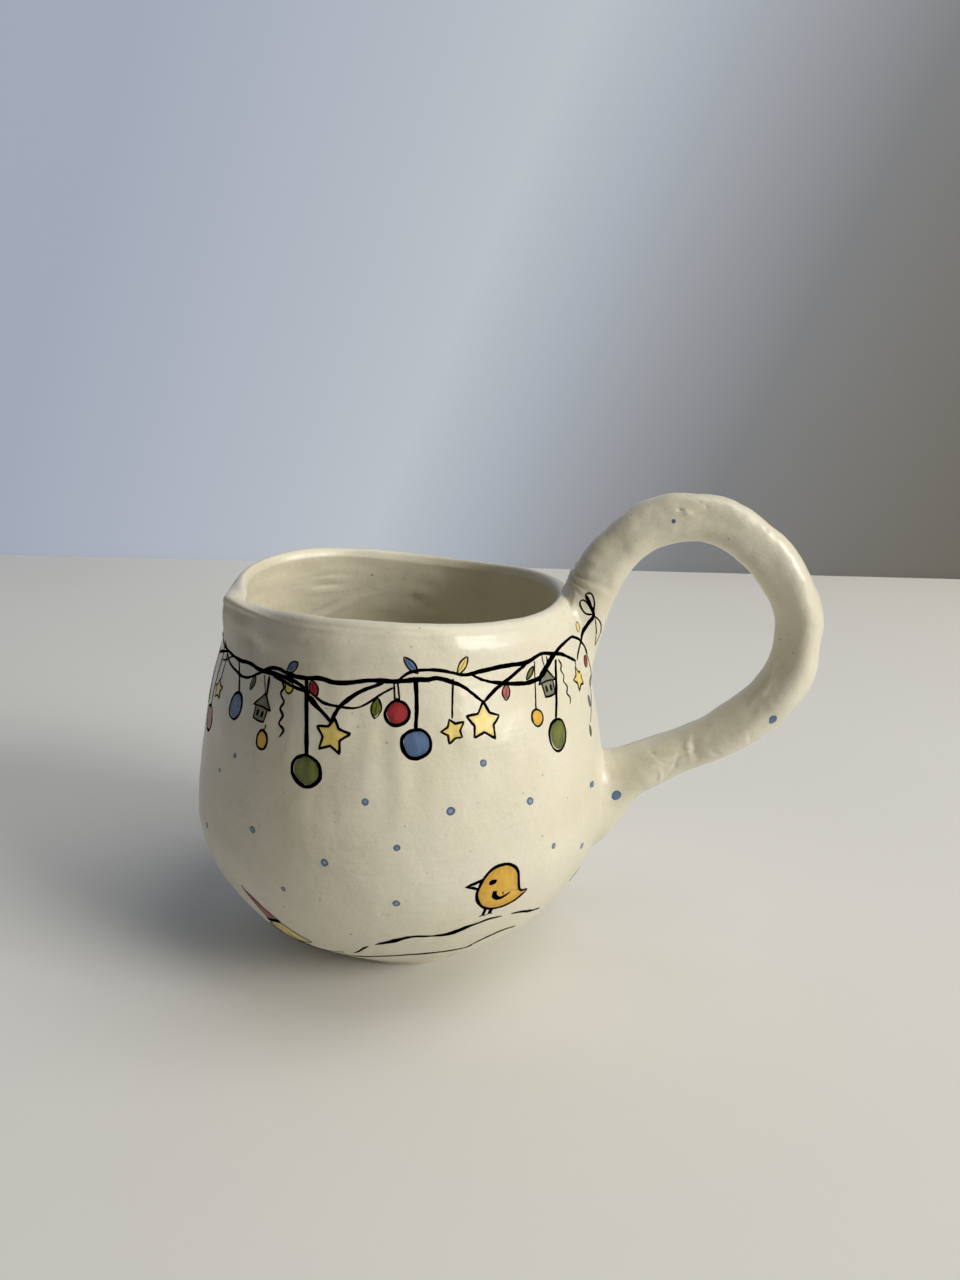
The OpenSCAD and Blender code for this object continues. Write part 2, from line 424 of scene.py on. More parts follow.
def coil_rows(u):
    u = np.asarray(u, float)[:, None] + 0 * F[None, :]
    f = F[None, :] + 0 * u
    t = heading(u)
    n = np.stack([-t[..., 2], 0 * t[..., 0], t[..., 0]], -1)
    y = np.zeros_like(n)
    y[..., 1] = 1
    flat_amp = 0.042 * smooth(u / 0.08) * smooth((1 - u) / 0.08)
    a = spline(THICK, u) * COIL_D / 2 * (1 + flat_amp * (np.cos(np.radians(4 * (f - 38 - 30 * np.sin(u * 7))))
                                                      + 0.8 * np.cos(np.radians(3 * (f + 90 * u + 20)))))
    return mid(u) + a[..., None] * (cosd(f)[..., None] * n + sind(f)[..., None] * y)


def patch(m_mid, m_half, half_w, part, deep=0.18):
    m_half = np.where(cosd(F) * m_half > 0, m_half * (1.135 if m_half > 0 else 1.0), m_half) if m_half > 0 else m_half
    m = m_mid + part * m_half * cosd(F)
    r = skin_r(0 * m, np.minimum(m, rim_z(0.0)))
    th = np.degrees(part * half_w * sind(F) / r)
    return wall_point(th, m, -deep), th, m


def joint_rows(m_mid, m_half, half_w, u, direction, pull_wall, pull_coil, puff, steps=64):
    ends = coil_rows([u])[0]
    t = direction * heading(np.array(u))
    a, th, m = patch(m_mid, m_half, half_w, 1.0)
    a9, _, _ = patch(m_mid, m_half, half_w, 0.9)
    inward = unit(a9 - a)
    inward = unit(inward + puff * np.maximum(0, cosd(F))[:, None] * np.array([1, 0, -0.3]))
    far = np.linalg.norm(ends - a, axis=-1, keepdims=True)
    rows = []
    for part in (0.06, 0.3, 0.6, 0.85):
        rows.append(patch(m_mid, m_half, half_w, part, 0.6)[0])
    for k in range(steps + 1):
        s = k / steps
        s = 0.35 * s * s + 0.65 * s
        rows.append(hermite(a, inward * far * pull_wall, ends, t * far * pull_coil, s))
    return np.array(rows), (th, m)


STEPS = 64
upR, (upTh, upM) = joint_rows(73.5, 12.7, 11.5, 0.0, 1, 0.85, 0.62, 0.0, STEPS)
loR, (loTh, loM) = joint_rows(36.0, -12.8, 11, 1.0, -1, 1.1, 0.8, 1.0, STEPS)
NU = 300
uu = np.linspace(0, 1, NU)
coil = coil_rows(uu)
H = np.concatenate([upR[:-1], coil, loR[::-1][1:]])
nup, nlo = len(upR) - 1, len(loR) - 1
pos_u = np.concatenate([np.linspace(-0.2, 0, nup, endpoint=False), uu, np.linspace(1, 1.2, nlo + 1)[1:]])
HN = -grid_normals(H)
cen = H.mean(1, keepdims=True)
if np.mean(np.sum(HN[nup:nup + NU] * (H - cen)[nup:nup + NU], -1)) < 0:
    HN = -HN
    FLIP = True
else:
    FLIP = False
edge_w = np.ones(len(H))
for k in range(4):
    edge_w[k] = edge_w[-1 - k] = 0
for k in range(STEPS + 1):
    w = smooth(k / STEPS / 0.45)
    edge_w[4 + k] = min(edge_w[4 + k], w)
    edge_w[len(H) - 1 - 4 - k] = min(edge_w[len(H) - 1 - 4 - k], w)
W = edge_w[:, None]
U = pos_u[:, None] + 0 * F[None, :]
FF = F[None, :] + 0 * U


FW = FF + 7.0 * lumps(H, 3.6, 81)
UW = U + 0.0042 * lumps(H, 3.2, 82) + 0.0018 * lumps(H, 1.4, 83)
FADE = 0.75 + 0.6 * lumps(H, 2.6, 84)


def hb(u0, f0, wu, wf, lean=0.0):
    d = (FW - f0 + 540) % 360 - 180
    e = (UW - u0 - lean * d) / wu
    return np.exp(-(d / wf) ** 2 - e * e) * (FADE if wf > 4 else 1.0)


hh = 0.5 * lumps(H, 17, 79) + 0.42 * lumps(H, 9.5, 71) + 0.13 * lumps(H, 4.6, 72) + 0.05 * lumps(H, 2.0, 73)
# pinched creases and pressed cracks in the lower run, a folded crease on the way down, pinholes
for u0, f0, wu, wf, amp, lean in (
        (0.875, 262, 0.0055, 26, -0.34, 0.00022), (0.883, 250, 0.006, 30, 0.2, 0.00022), (0.842, 285, 0.005, 16, -0.3, -0.0004),
        (0.915, 275, 0.004, 22, -0.28, 0.0006), (0.94, 250, 0.004, 20, -0.26, -0.0007), (0.955, 285, 0.006, 24, 0.22, 0.0003), (0.93, 300, 0.012, 10, -0.2, 0.0),
        (0.79, 300, 0.005, 18, -0.26, 0.0003), (0.80, 310, 0.007, 20, 0.16, 0.0003), (0.905, 262, 0.03, 3.2, -0.2, 0.0), (0.95, 236, 0.02, 3.0, -0.18, 0.0),
        (0.70, 214, 0.05, 4.5, -0.42, 0.0), (0.70, 224, 0.05, 7, 0.25, 0.0), (0.235, 292, 0.0032, 3.4, -0.5, 0.0), (0.245, 284, 0.006, 7, 0.22, 0.0),
        (0.262, 312, 0.0026, 2.6, -0.24, 0.0), (0.275, 306, 0.003, 3, -0.2, 0.0), (0.375, 310, 0.0024, 2.6, -0.22, 0.0), (0.41, 330, 0.002, 2.4, -0.18, 0.0),
        (0.55, 300, 0.03, 12, -0.2, 0.0), (0.15, 300, 0.03, 16, 0.2, 0.0),
        (0.875, 80, 0.0055, 30, -0.3, -0.0003), (0.93, 100, 0.005, 20, -0.26, 0.0004), (0.45, 70, 0.003, 3.4, -0.35, 0.0), (0.2, 95, 0.0028, 3.0, -0.3, 0.0),
        (0.6, 120, 0.04, 6, -0.3, 0.0), (0.33, 60, 0.03, 12, -0.22, 0.0)):
    hh = hh + amp * hb(u0, f0, wu, wf, lean)
# the ridges that the thumb left where the coil meets the lip
side = np.exp(-((((FF - 345) + 540) % 360 - 180) / 62.0) ** 2) + 0.8 * np.exp(-((((FF - 60) + 540) % 360 - 180) / 40.0) ** 2)
ridge = np.sin((U * 210) + 0.9 * lumps(H, 5, 77)) * np.exp(-((U - 0.012) / 0.042) ** 2)
hh = hh + 0.27 * ridge * side
H2 = H + HN * (hh * W)[..., None]
HN2 = grid_normals(H2)
if np.mean(np.sum(HN2[nup:nup + NU] * (H2 - H2.mean(1, keepdims=True))[nup:nup + NU], -1)) < 0:
    HN2 = -HN2
    ORIENT = -1
else:
    ORIENT = 1
# near the wall the shading turns into the wall's own
for (start, sgn) in ((4, 1), (len(H) - 5, -1)):
    for k in range(0, 16):
        row = start + sgn * k
        P = H2[row]
        th = np.degrees(np.arctan2(P[:, 1], P[:, 0]))
        if sgn > 0:
            m = upM
            thb = upTh
        else:
            m = loM
            thb = loTh
        N = fd_normal(wall_point, thb, m, 0.12)
        w = 1 - smooth(k / 15)
        HN2[row] = unit(HN2[row] * (1 - w) + N * w)


def piece(name, a, b):
    P, N = H2[a:b + 1], HN2[a:b + 1]
    if ORIENT < 0:
        P, N = P[::-1], N[::-1]
    return closed_grid(name, P, N)


upper_clay = piece("upper_joint_clay_glazed", 0, nup)
coil_obj = piece("handle_coil_glazed", nup, nup + NU - 1)
lower_clay = piece("lower_joint_clay_glazed", nup + NU - 1, len(H2) - 1)

# ---------------------------------------------------------------- the painted design: thin closed shapes in the glaze
_co, _no, _f = [], [], []
_count = 0
_parts = [(wallP[:UP + 1], wallN[:UP + 1])]
for a_, b_ in ((4, nup), (nup, nup + NU - 1), (nup + NU - 1, len(H2) - 5)):
    _parts.append((H2[a_:b_ + 1], HN2[a_:b_ + 1]))
for P_, N_ in _parts:
    _co.append(P_.reshape(-1, 3))
    _no.append(N_.reshape(-1, 3))
    _f += grid_quads(P_.shape[0], P_.shape[1], _count).tolist()
    _count += P_.shape[0] * P_.shape[1]
_co, _no = np.concatenate(_co), np.concatenate(_no)
TREE = BVHTree.FromPolygons((_co * 0.001).tolist(), _f)
paints = {}


class Paint:
    def __init__(self):
        self.v, self.n, self.q, self.t, self.e, self.p, self.count = [], [], [], [], [], [], 0

    def add(self, v, n, e, quads=(), tris=(), pale=0.0):
        self.p.append(np.full(len(v), float(pale)))
        self.v.append(np.asarray(v))
        self.n.append(np.asarray(n))
        self.e.append(np.asarray(e, float))
        if len(quads):
            self.q.append(np.asarray(quads) + self.count)
        if len(tris):
            self.t.append(np.asarray(tris) + self.count)
        self.count += len(v)


def paint(name):
    if name not in paints:
        paints[name] = Paint()
    return paints[name]


class Wall:
    """Places a drawing on the cup's glazed outside, in (degrees, mm)."""
    def __call__(self, P, lift):
        th = np.degrees(np.arctan2(P[:, 1], P[:, 0]))
        return wall_both(th, P[:, 2], lift)

    def start(self, pts):
        pts = np.asarray(pts, float)
        return wall_point(pts[:, 0], pts[:, 1])


class Clay:
    """Places a drawing on the nearest clay, where the joint clay lies over the wall; points are in mm."""
    def start(self, pts):
        return self(np.asarray(pts, float), 0.0)[0]

    def __call__(self, P, lift):
        P = np.asarray(P, float)
        lift = np.broadcast_to(np.asarray(lift, float), (len(P),))
        outP, outN = [], []
        for p, l in zip(P, lift):
            loc, nor, face, _ = TREE.find_nearest(Vector(p * 0.001))
            # where one clay lies over another, the outer one is drawn on
            n0 = unit(_no[list(_f[face])].sum(0))
            o = np.array(loc) + n0 * 0.003
            hit = TREE.ray_cast(Vector(o), Vector(-n0), 0.0035)
            if hit[0] is not None:
                loc, face = hit[0], hit[2]
            loc = np.array(loc) * 1000
            ids = list(_f[face])
            w = 1 / (np.sum((_co[ids] - loc) ** 2, 1) + 0.01)
            n = unit((_no[ids] * w[:, None]).sum(0))
            outP.append(loc + n * l)
            outN.append(n)
        return np.array(outP), np.array(outN)


WALL_KIND = Wall()
_seed = [100]


def wobble(s, size, amp):
    """Smooth seeded variation along a line."""
    _seed[0] += 1
    P = np.stack([np.asarray(s, float), 0 * s + _seed[0] * 13.7, 0 * s + 2.2], -1)
    return amp * lumps(P, size, _seed[0] % 97)


def through(P, step=0.4, closed=False):
    """A smooth line through the points, evenly spaced."""
    P = np.asarray(P, float)
    if closed:
        Q = np.concatenate([P[-2:], P, P[:2]])
        idx = np.linspace(2, len(P) + 2, max(24, 12 * len(P)) + 1)
    else:
        Q = np.concatenate([[2 * P[0] - P[1]], P, [2 * P[-1] - P[-2]]])
        idx = np.linspace(1, len(P), max(16, 12 * len(P)))
    i = np.minimum(np.floor(idx).astype(int), len(Q) - 3)
    i = np.maximum(i, 1)
    f = (idx - i)[:, None]
    a, b, c, d = Q[i - 1], Q[i], Q[i + 1], Q[i + 2]
    C = 0.5 * (2 * b + (c - a) * f + (2 * a - 5 * b + 4 * c - d) * f * f + (3 * b - a - 3 * c + d) * f ** 3)
    s = np.concatenate([[0], np.cumsum(np.linalg.norm(np.diff(C, axis=0), axis=1))])
    n = max(4, int(s[-1] / step))
    t = np.linspace(0, s[-1], n + 1)
    return np.stack([np.interp(t, s, C[:, k]) for k in range(3)], -1), t


# across a brush line: place from -1 to 1, lift in mm, lean of the normal
ACROSS = [(-1, -0.03, -0.5), (-0.72, 0.03, -0.3), (-0.3, 0.055, -0.1), (0.3, 0.055, 0.1), (0.72, 0.03, 0.3), (1, -0.03, 0.5)]


def stroke(pts, width, color="black_line", kind=WALL_KIND, ends=(0.35, 0.25), lift=0.02, closed=False, rough=0.16, xyz=None, drift=0.0):
    """A brush line. width in mm, or a list of widths along it; ends are the widths at the two ends as a part of it."""
    C = kind.start(pts) if xyz is None else np.asarray(xyz, float)
    C, s = through(C, 0.4, closed)
    if drift:
        side0 = wobble(s, 4.0, drift)
        up = wobble(s, 4.5, drift)
        C = C + np.stack([side0 * 0, side0 * 0, up], -1)
    C, N = kind(C, 0.0)
    n = len(C)
    if closed:
        C = C[:-1]
        N = N[:-1]
        n -= 1
        T = unit(np.roll(C, -1, 0) - np.roll(C, 1, 0))
        s = s[:-1]
    else:
        T = unit(np.gradient(C, axis=0))
    S = unit(np.cross(N, T))
    w = np.interp(np.linspace(0, 1, n), np.linspace(0, 1, len(width)), width) if hasattr(width, "__len__") else np.full(n, float(width))
    w = w / 2 * (1 + wobble(s, 2.6, rough) + wobble(s, 0.9, rough * 0.5))
    if not closed:
        tip = min(0.9, s[-1] * 0.3)
        w = w * (ends[0] + (1 - ends[0]) * np.sqrt(np.clip(s / tip, 0, 1))) * (ends[1] + (1 - ends[1]) * np.sqrt(np.clip((s[-1] - s) / tip, 0, 1)))
    cols = len(ACROSS) + 1
    V = np.zeros((n, cols, 3))
    M = np.zeros((n, cols, 3))
    E = np.zeros((n, cols))
    jl, jr = wobble(s, 0.7, 0.05), wobble(s, 0.7, 0.05)
    for c, (x, l, lean) in enumerate(ACROSS):
        off = x * w + (jl if x < 0 else jr) * abs(x)
        Q = C + S * off[:, None]
        q, qn = kind(Q, l + (lift if l > 0 else 0))
        V[:, c] = q
        M[:, c] = unit(qn + S * (0.35 * lean))
        E[:, c] = abs(x)
    q, qn = kind(C, -0.14)
    V[:, -1] = q
    M[:, -1] = -qn
    quads = []
    last = n if closed else n - 1
    for k in range(last):
        k2 = (k + 1) % n
        for c in range(cols):
            c2 = (c + 1) % cols
            quads.append((k * cols + c, k2 * cols + c, k2 * cols + c2, k * cols + c2))
    tris = []
    if not closed:
        for c in range(1, cols - 1):
            tris.append((0, c, c + 1))
            o = (n - 1) * cols
            tris.append((o, o + c + 1, o + c))
    quads = [q[::-1] for q in quads]
    tris = [t[::-1] for t in tris]
    paint(color).add(V.reshape(-1, 3), M.reshape(-1, 3), E.reshape(-1), quads, tris)
    return C


def local(th, z, pts, turn=0.0):
    """Points in mm right and up about (th, z) on the cup, as (degrees, mm)."""
    pts = np.asarray(pts, float)
    x = pts[:, 0] * cosd(turn) - pts[:, 1] * sind(turn)
    y = pts[:, 0] * sind(turn) + pts[:, 1] * cosd(turn)
    zz = np.full(len(pts), float(z))
    # walk up or down the slope
    n = 6
    for _ in range(n):
        g = (skin_r(np.full(len(pts), float(th)), zz + 0.1) - skin_r(np.full(len(pts), float(th)), zz - 0.1)) / 0.2
        zz = zz + y / n / np.sqrt(1 + g * g)
    r = skin_r(np.full(len(pts), float(th)), zz)
    return np.stack([th + np.degrees(x / r), zz], -1)


def fill(outline, color, kind=WALL_KIND, lift=0.045, rings=7, xyz=None, shrink=1.0, pale=0.0):
    """A filled shape. outline is closed, in (degrees, mm), and seen whole from its middle."""
    C = kind.start(outline) if xyz is None else np.asarray(xyz, float)
    C, s = through(C, 0.35, True)
    C = C[:-1]
    c0 = C.mean(0)
    C = c0 + (C - c0) * shrink
    n = len(C)
    V, M, E = [], [], []
    ts = np.linspace(0, 1, rings + 1)[1:]
    for t in ts:
        Q = c0 + (C - c0) * t
        l = -0.03 if t == ts[-1] else lift * (1.0 if t < 0.9 else 0.8)
        q, qn = kind(Q, l)
        V.append(q)
        M.append(qn)
        E.append(np.full(n, t))
    q, qn = kind(c0[None], lift)
    b, bn = kind(c0[None], -0.14)
    V = np.concatenate([np.concatenate(V), q, b])
    M = np.concatenate([np.concatenate(M), qn, -bn])
    E = np.concatenate([np.concatenate(E), [0], [0]])
    i = np.arange(n)
    j = (i + 1) % n
    quads = []
    for k in range(rings - 1):
        quads += [(k * n + a, (k + 1) * n + a, (k + 1) * n + b_, k * n + b_) for a, b_ in zip(i, j)]
    ci, bi = rings * n, rings * n + 1
    tris = [(ci, a, b_) for a, b_ in zip(i, j)]
    o = (rings - 1) * n
    tris += [(bi, o + b_, o + a) for a, b_ in zip(i, j)]
    # which way round the outline goes decides the facing
    fn = np.cross(V[0] - V[ci], V[1] - V[ci])
    if np.dot(fn, M[ci]) < 0:
        quads = [q_[::-1] for q_ in quads]
        tris = [t_[::-1] for t_ in tris]
    paint(color).add(V, M, E, quads, tris, pale)


def circle(rx, ry=None, n=14, rough=0.05, at=(0, 0), turn=0):
    ry = rx if ry is None else ry
    a = np.arange(n) * 2 * math.pi / n
    _seed[0] += 1
    k = 1 + rough * np.random.default_rng(_seed[0]).uniform(-1, 1, n)
    x, y = rx * k * np.cos(a), ry * k * np.sin(a)
    return np.stack([at[0] + x * cosd(turn) - y * sind(turn), at[1] + x * sind(turn) + y * cosd(turn)], -1)


def ball(th, z, r, color, top=None, w=0.6, ry=None, line=0.72, ring_gap=0.0, doubled=False):
    o = circle(r, ry, 16, 0.035)
    fill(local(th, z, o * 0.97 + [0.06 * r, 0.03 * r]), color)
    stroke(local(th, z, o), line * (1 + 0 * r), closed=True, rough=0.26)
    if top is not None:
        end = local(th, z, [(0.05, (ry or r) * 0.98)])[0]
        if doubled:
            a = local(th, z, [(-0.42, (ry or r) * 0.98), (0.5, (ry or r) * 0.96)])
            stroke([top, a[0]], w, ends=(0.9, 0.7))
            stroke([(top[0] + 1.0, top[1]), a[1]], w, ends=(0.9, 0.7))
            stroke(local(th, z, [(-0.7, r * 1.0), (0, r * 1.16), (0.7, r * 0.98)]), 0.5)
        else:
            mid_ = ((top[0] + end[0]) / 2 + 0.3, (top[1] + end[1]) / 2)
            stroke([top, mid_, end], w, ends=(0.9, 0.8))


def star(th, z, r, turn=0, top=None, w=0.45, line=0.5, color="yellow_underglaze"):
    pts, inner = [], []
    _seed[0] += 1
    g = np.random.default_rng(_seed[0])
    for k in range(10):
        a = math.radians(90 + 36 * k + turn)
        rr = r * (1.0 if k % 2 == 0 else 0.52) * (1 + g.uniform(-0.09, 0.09))
        pts.append((rr * math.cos(a), rr * math.sin(a)))
    pts = np.array(pts)
    dense = []
    for k in range(10):
        a, b = pts[k], pts[(k + 1) % 10]
        dense += [a + (b - a) * t for t in (0.0, 0.08, 0.5, 0.92)]
    dense = np.array(dense)
    fill(local(th, z, dense * 0.93), color)
    stroke(local(th, z, dense), line, closed=True, rough=0.25)
    if top is not None:
        stroke([top, local(th, z, [(0, r * 0.98)])[0]], w, ends=(0.8, 0.8))


def leaf(th, z, length, width, turn, color, line=0.38, vein=True):
    """A small pointed leaf from its stalk at the origin."""
    s = np.linspace(0, 1, 7)
    up = [(length * (t - 0.5), width / 2 * math.sin(math.pi * t) ** 0.8) for t in s]
    dn = [(length * (t - 0.5), -width / 2 * math.sin(math.pi * t) ** 0.8) for t in s[::-1][1:-1]]
    o = np.array(up + dn)
    fill(local(th, z, o * 0.9, turn), color)
    stroke(local(th, z, o, turn), line, closed=True, rough=0.25)
    if vein:
        stroke(local(th, z, [(-length * 0.3, 0.02), (length * 0.28, 0.05)], turn), 0.2, ends=(0.4, 0.2))


def lantern(th, z, w, h, top=None, sw=0.35):
    """A little house-shaped lantern; z is the middle of its box."""
    box = np.array([(-w * 0.36, h * 0.2), (-w * 0.36, -h * 0.05), (-w * 0.33, -h * 0.3), (0, -h * 0.33), (w * 0.33, -h * 0.3), (w * 0.36, -h * 0.05), (w * 0.36, h * 0.2), (0, h * 0.22)])
    fill(local(th, z, box), "grey_underglaze")
    roof = np.array([(-w * 0.5, h * 0.2), (-w * 0.25, h * 0.44), (0, h * 0.66), (w * 0.26, h * 0.44), (w * 0.52, h * 0.17), (0, h * 0.22)])
    fill(local(th, z, roof * [0.86, 1]), "grey_underglaze")
    stroke(local(th, z, [(-w * 0.54, h * 0.16), (-w * 0.26, h * 0.44), (0, h * 0.69), (w * 0.28, h * 0.42), (w * 0.55, h * 0.13)]), 0.5, ends=(0.6, 0.6))
    stroke(local(th, z, [(-w * 0.54, h * 0.17), (0, h * 0.21), (w * 0.55, h * 0.14)]), 0.5, ends=(0.7, 0.7))
    stroke(local(th, z, [(-w * 0.36, h * 0.18), (-w * 0.34, -h * 0.1), (-w * 0.32, -h * 0.32)]), 0.45, ends=(0.8, 0.8))
    stroke(local(th, z, [(w * 0.36, h * 0.16), (w * 0.35, -h * 0.1), (w * 0.3, -h * 0.33)]), 0.5, ends=(0.8, 0.8))
    stroke(local(th, z, [(-w * 0.36, -h * 0.3), (0, -h * 0.34), (w * 0.34, -h * 0.32)]), 0.5, ends=(0.8, 0.8))
    stroke(local(th, z, [(-w * 0.15, h * 0.06), (-w * 0.15, -h * 0.17)]), w * 0.17, ends=(0.9, 0.9), rough=0.1)
    stroke(local(th, z, [(w * 0.13, h * 0.05), (w * 0.13, -h * 0.17)]), w * 0.17, ends=(0.9, 0.9), rough=0.1)
    if top is not None:
        stroke([top, local(th, z, [(0, h * 0.68)])[0]], sw, ends=(0.9, 0.9))


def dot(th, z, r=0.8, kind=WALL_KIND, xyz=None):
    if kind is WALL_KIND:
        fill(local(th, z, circle(r, r, 10, 0.09)), "blue_underglaze", lift=0.05, rings=6, pale=0.35 + 0.65 * ((th * 7.3) % 1.0))
    else:
        fill([(th + a, z + b) for a, b in circle(r, r, 10, 0.07)], "blue_underglaze", kind=kind, lift=0.05, rings=4)


def squiggle(th0, z0, th1, z1, n=9, amp=0.75, w=0.5):
    pts = []
    g = np.random.default_rng(int(th0 * 10) % 1000)
    for k in range(n):
        t = k / (n - 1)
        pts.append((th0 + (th1 - th0) * t + (amp if k % 2 else -amp) * (0.6 + 0.6 * g.random()), z0 + (z1 - z0) * (t + 0.02 * g.uniform(-1, 1))))
    stroke(pts, w, ends=(0.8, 0.3), rough=0.3)


VINE = 0.9
# --- garland, front
stroke([(205, 77.2), (207.4, 75.7), (213, 75.2), (220, 74.8), (227, 75.3), (235, 75.1), (242, 75.3), (248, 75.1), (252, 74.5), (255, 73.3), (257, 71.6), (260, 70.2), (263, 68.6)], [0.6, 0.7, 0.9, 1.0, 1.1, 1.1, 1.0, 1.0, 0.9, 0.8], drift=0.12)
stroke([(233.5, 74.8), (235, 75.1), (238, 76.1), (242, 76.5), (248, 75.9), (253, 75.9), (258.6, 76.2), (263, 75.8), (267, 75.9), (272, 76.5), (277, 76.6), (281.5, 76.2)], [0.7, 0.9, 0.9, 1.0, 1.15, 1.1, 1.1, 1.0, 0.8], drift=0.1)
stroke([(207.6, 76.6), (210.5, 75.1), (213, 73.8), (216.3, 72.9), (223, 72.2), (227, 72.4), (230.3, 73.2), (233, 74.2), (235, 74.9)], [0.4, 0.6, 0.65, 0.7, 0.75, 0.7], drift=0.08)
stroke([(208, 72.6), (211.5, 73.3), (215, 74.6), (219, 75.0)], 0.45)
stroke([(240, 74.9), (244, 74.6), (249, 73.9), (254, 73.4), (257, 73.2)], [0.6, 0.8, 0.8, 0.6])
stroke([(256.6, 72.6), (259.5, 70.6), (262, 69.2), (263.2, 68.5), (264, 69.6), (265.4, 71.3), (268.8, 73.5), (272.3, 74.9), (277.5, 76.3)], [0.6, 0.8, 0.9, 0.9, 1.0, 1.05, 0.9, 0.7], drift=0.06)
stroke([(256.7, 73.3), (260, 71.9), (263.7, 71.4), (269, 71.3), (272.4, 72.2), (276, 73.9), (280, 75.3)], [0.5, 0.7, 0.6, 0.45, 0.5, 0.5])
stroke([(275, 76.2), (276, 76.4), (280, 76.3), (285.6, 76.5), (289, 76.4), (292, 76.5), (296.2, 75.3), (299, 74.3), (301.4, 72.9), (304.4, 70.9)], [0.5, 0.9, 1.0, 1.1, 1.05, 1.0, 0.9, 0.8, 0.6], drift=0.08)
stroke([(279.6, 76.1), (280.7, 76.4), (284, 77.8), (288, 78.2), (292, 78), (296, 77.2), (299.6, 76.5), (304, 76.7), (309.8, 77), (315, 76.9), (321, 76.6), (327, 77.4), (331, 76.9), (337.3, 75.7), (341.5, 74.3), (346.4, 72.5)], [0.5, 0.7, 0.7, 0.8, 1.0, 1.1, 1.1, 1.0, 1.0, 0.9, 0.8, 0.7], drift=0.08)
stroke([(301, 76.5), (302, 76.3), (305.5, 75), (311, 73.8), (317.6, 72.9), (322, 72.7), (326.5, 73.1), (330, 74.6)], [0.5, 0.7, 0.9, 0.9, 1.0, 1.1, 1.2], drift=0.05)
stroke([(304.7, 70.9), (309, 72.9), (314, 74.4), (318, 75.6), (321, 76.4)], [0.7, 1.0, 1.0, 0.8])
stroke([(327, 73.6), (330, 75.2), (333, 76.9)], [0.8, 1.1, 0.8])

# --- ornaments, front
ball(207.3, 59.6, 2.8, "red_underglaze", top=(207.5, 76.0), w=0.4)
star(211.6, 66.9, 2.3, 10, top=(211.2, 74.8), w=0.35, line=0.45)
ball(225.7, 66.3, 2.5, "blue_underglaze", top=(220.3, 74.6), w=0.65, ry=2.8)
leaf(231.7, 72.0, 3.1, 1.5, 80, "green_underglaze")
lantern(239.0, 67.4, 5.4, 5.6, top=(236.2, 74.4), sw=0.32)
stroke([(238.6, 74.7), (239.2, 72.8), (239.8, 70.6)], [0.9, 1.0, 0.7])
ball(241.7, 62.3, 1.55, "orange_underglaze", top=(242.4, 65.4), w=0.35, ry=1.9, line=0.55)
leaf(248.5, 77.5, 3.5, 1.8, 38, "blue_underglaze", vein=False)
ball(248.6, 73.4, 1.15, "yellow_underglaze", line=0.4)
squiggle(245.4, 74.4, 248.4, 64.0, 9, 0.8, 0.62)
leaf(257.2, 74.1, 3.4, 2.0, -62, "red_underglaze")
ball(257.0, 58.6, 3.1, "green_underglaze", top=(254.4, 75.6), w=1.1, line=0.95)
star(263.7, 65.9, 3.5, -8, top=(263.2, 68.7), line=0.62)
leaf(275.1, 71.5, 3.9, 2.0, 82, "green_underglaze")
ball(280.6, 70.5, 2.3, "red_underglaze", top=(279.9, 76.2), w=0.42, doubled=True, line=0.75)
ball(285.2, 64.7, 2.8, "blue_underglaze", top=(285.7, 76.6), w=0.95, line=0.8)
leaf(284.6, 79.2, 4.1, 1.5, -52, "blue_underglaze")
star(295.0, 66.4, 2.5, 14, top=(296.2, 76.0), w=0.5, line=0.45)
leaf(299.3, 78.3, 3.9, 1.5, 55, "yellow_underglaze")
star(303.9, 67.2, 4.0, -6, top=(304.3, 71.4), line=0.62)
leaf(312.2, 71.9, 3.2, 1.9, 78, "red_underglaze")
leaf(321.9, 74.4, 3.4, 1.2, 40, "green_underglaze", vein=False)
ball(321.3, 65.5, 1.55, "orange_underglaze", top=(324.3, 76.4), w=0.42, ry=1.75, line=0.5)
lantern(328.2, 70.6, 4.9, 6.0, top=(327.6, 77.0), sw=0.35)
stroke([(329.6, 76.6), (329.7, 75.6), (329.2, 74.6)], 0.5)
ball(327.9, 60.6, 2.7, "green_underglaze", top=(334.0, 75.2), w=0.95, ry=3.3, line=0.75)
squiggle(335.8, 75, 336.6, 65.2, 9, 0.55, 0.5)
star(345.3, 68.8, 2.7, 8, top=(345.8, 73.0), line=0.5)
leaf(346.1, 56.8, 2.6, 1.1, 88, "green_underglaze", line=0.3, vein=False)

# --- falling snow
for th, z, r in ((302.5, 59.5, 0.82), (272.5, 53.8, 0.8), (293.1, 51.2, 0.95), (314.9, 49.6, 0.9), (343, 45.3, 0.8), (240.8, 43.8, 0.8), (279.9, 44.7, 0.72), (262.3, 40.8, 0.88),
                 (321.9, 38, 0.7), (335.8, 33.1, 0.8), (250.4, 32.8, 0.62), (279.4, 32.7, 0.82), (223.7, 52.1, 0.55), (218, 38, 0.75), (231, 57, 0.6),
                 (12, 47, 0.0), (30, 52, 0.85), (44, 40, 0.8), (58, 57, 0.75), (70, 47, 0.9), (84, 36, 0.8), (96, 55, 0.85), (110, 46, 0.7), (123, 59, 0.8), (137, 42, 0.9),
                 (150, 53, 0.75), (163, 37, 0.85), (176, 48, 0.8), (190, 41, 0.75), (62, 31, 0.8), (128, 31, 0.75), (200, 30, 0.8), (186, 58, 0.7)):
    if r > 0:
        dot(th, z, r)

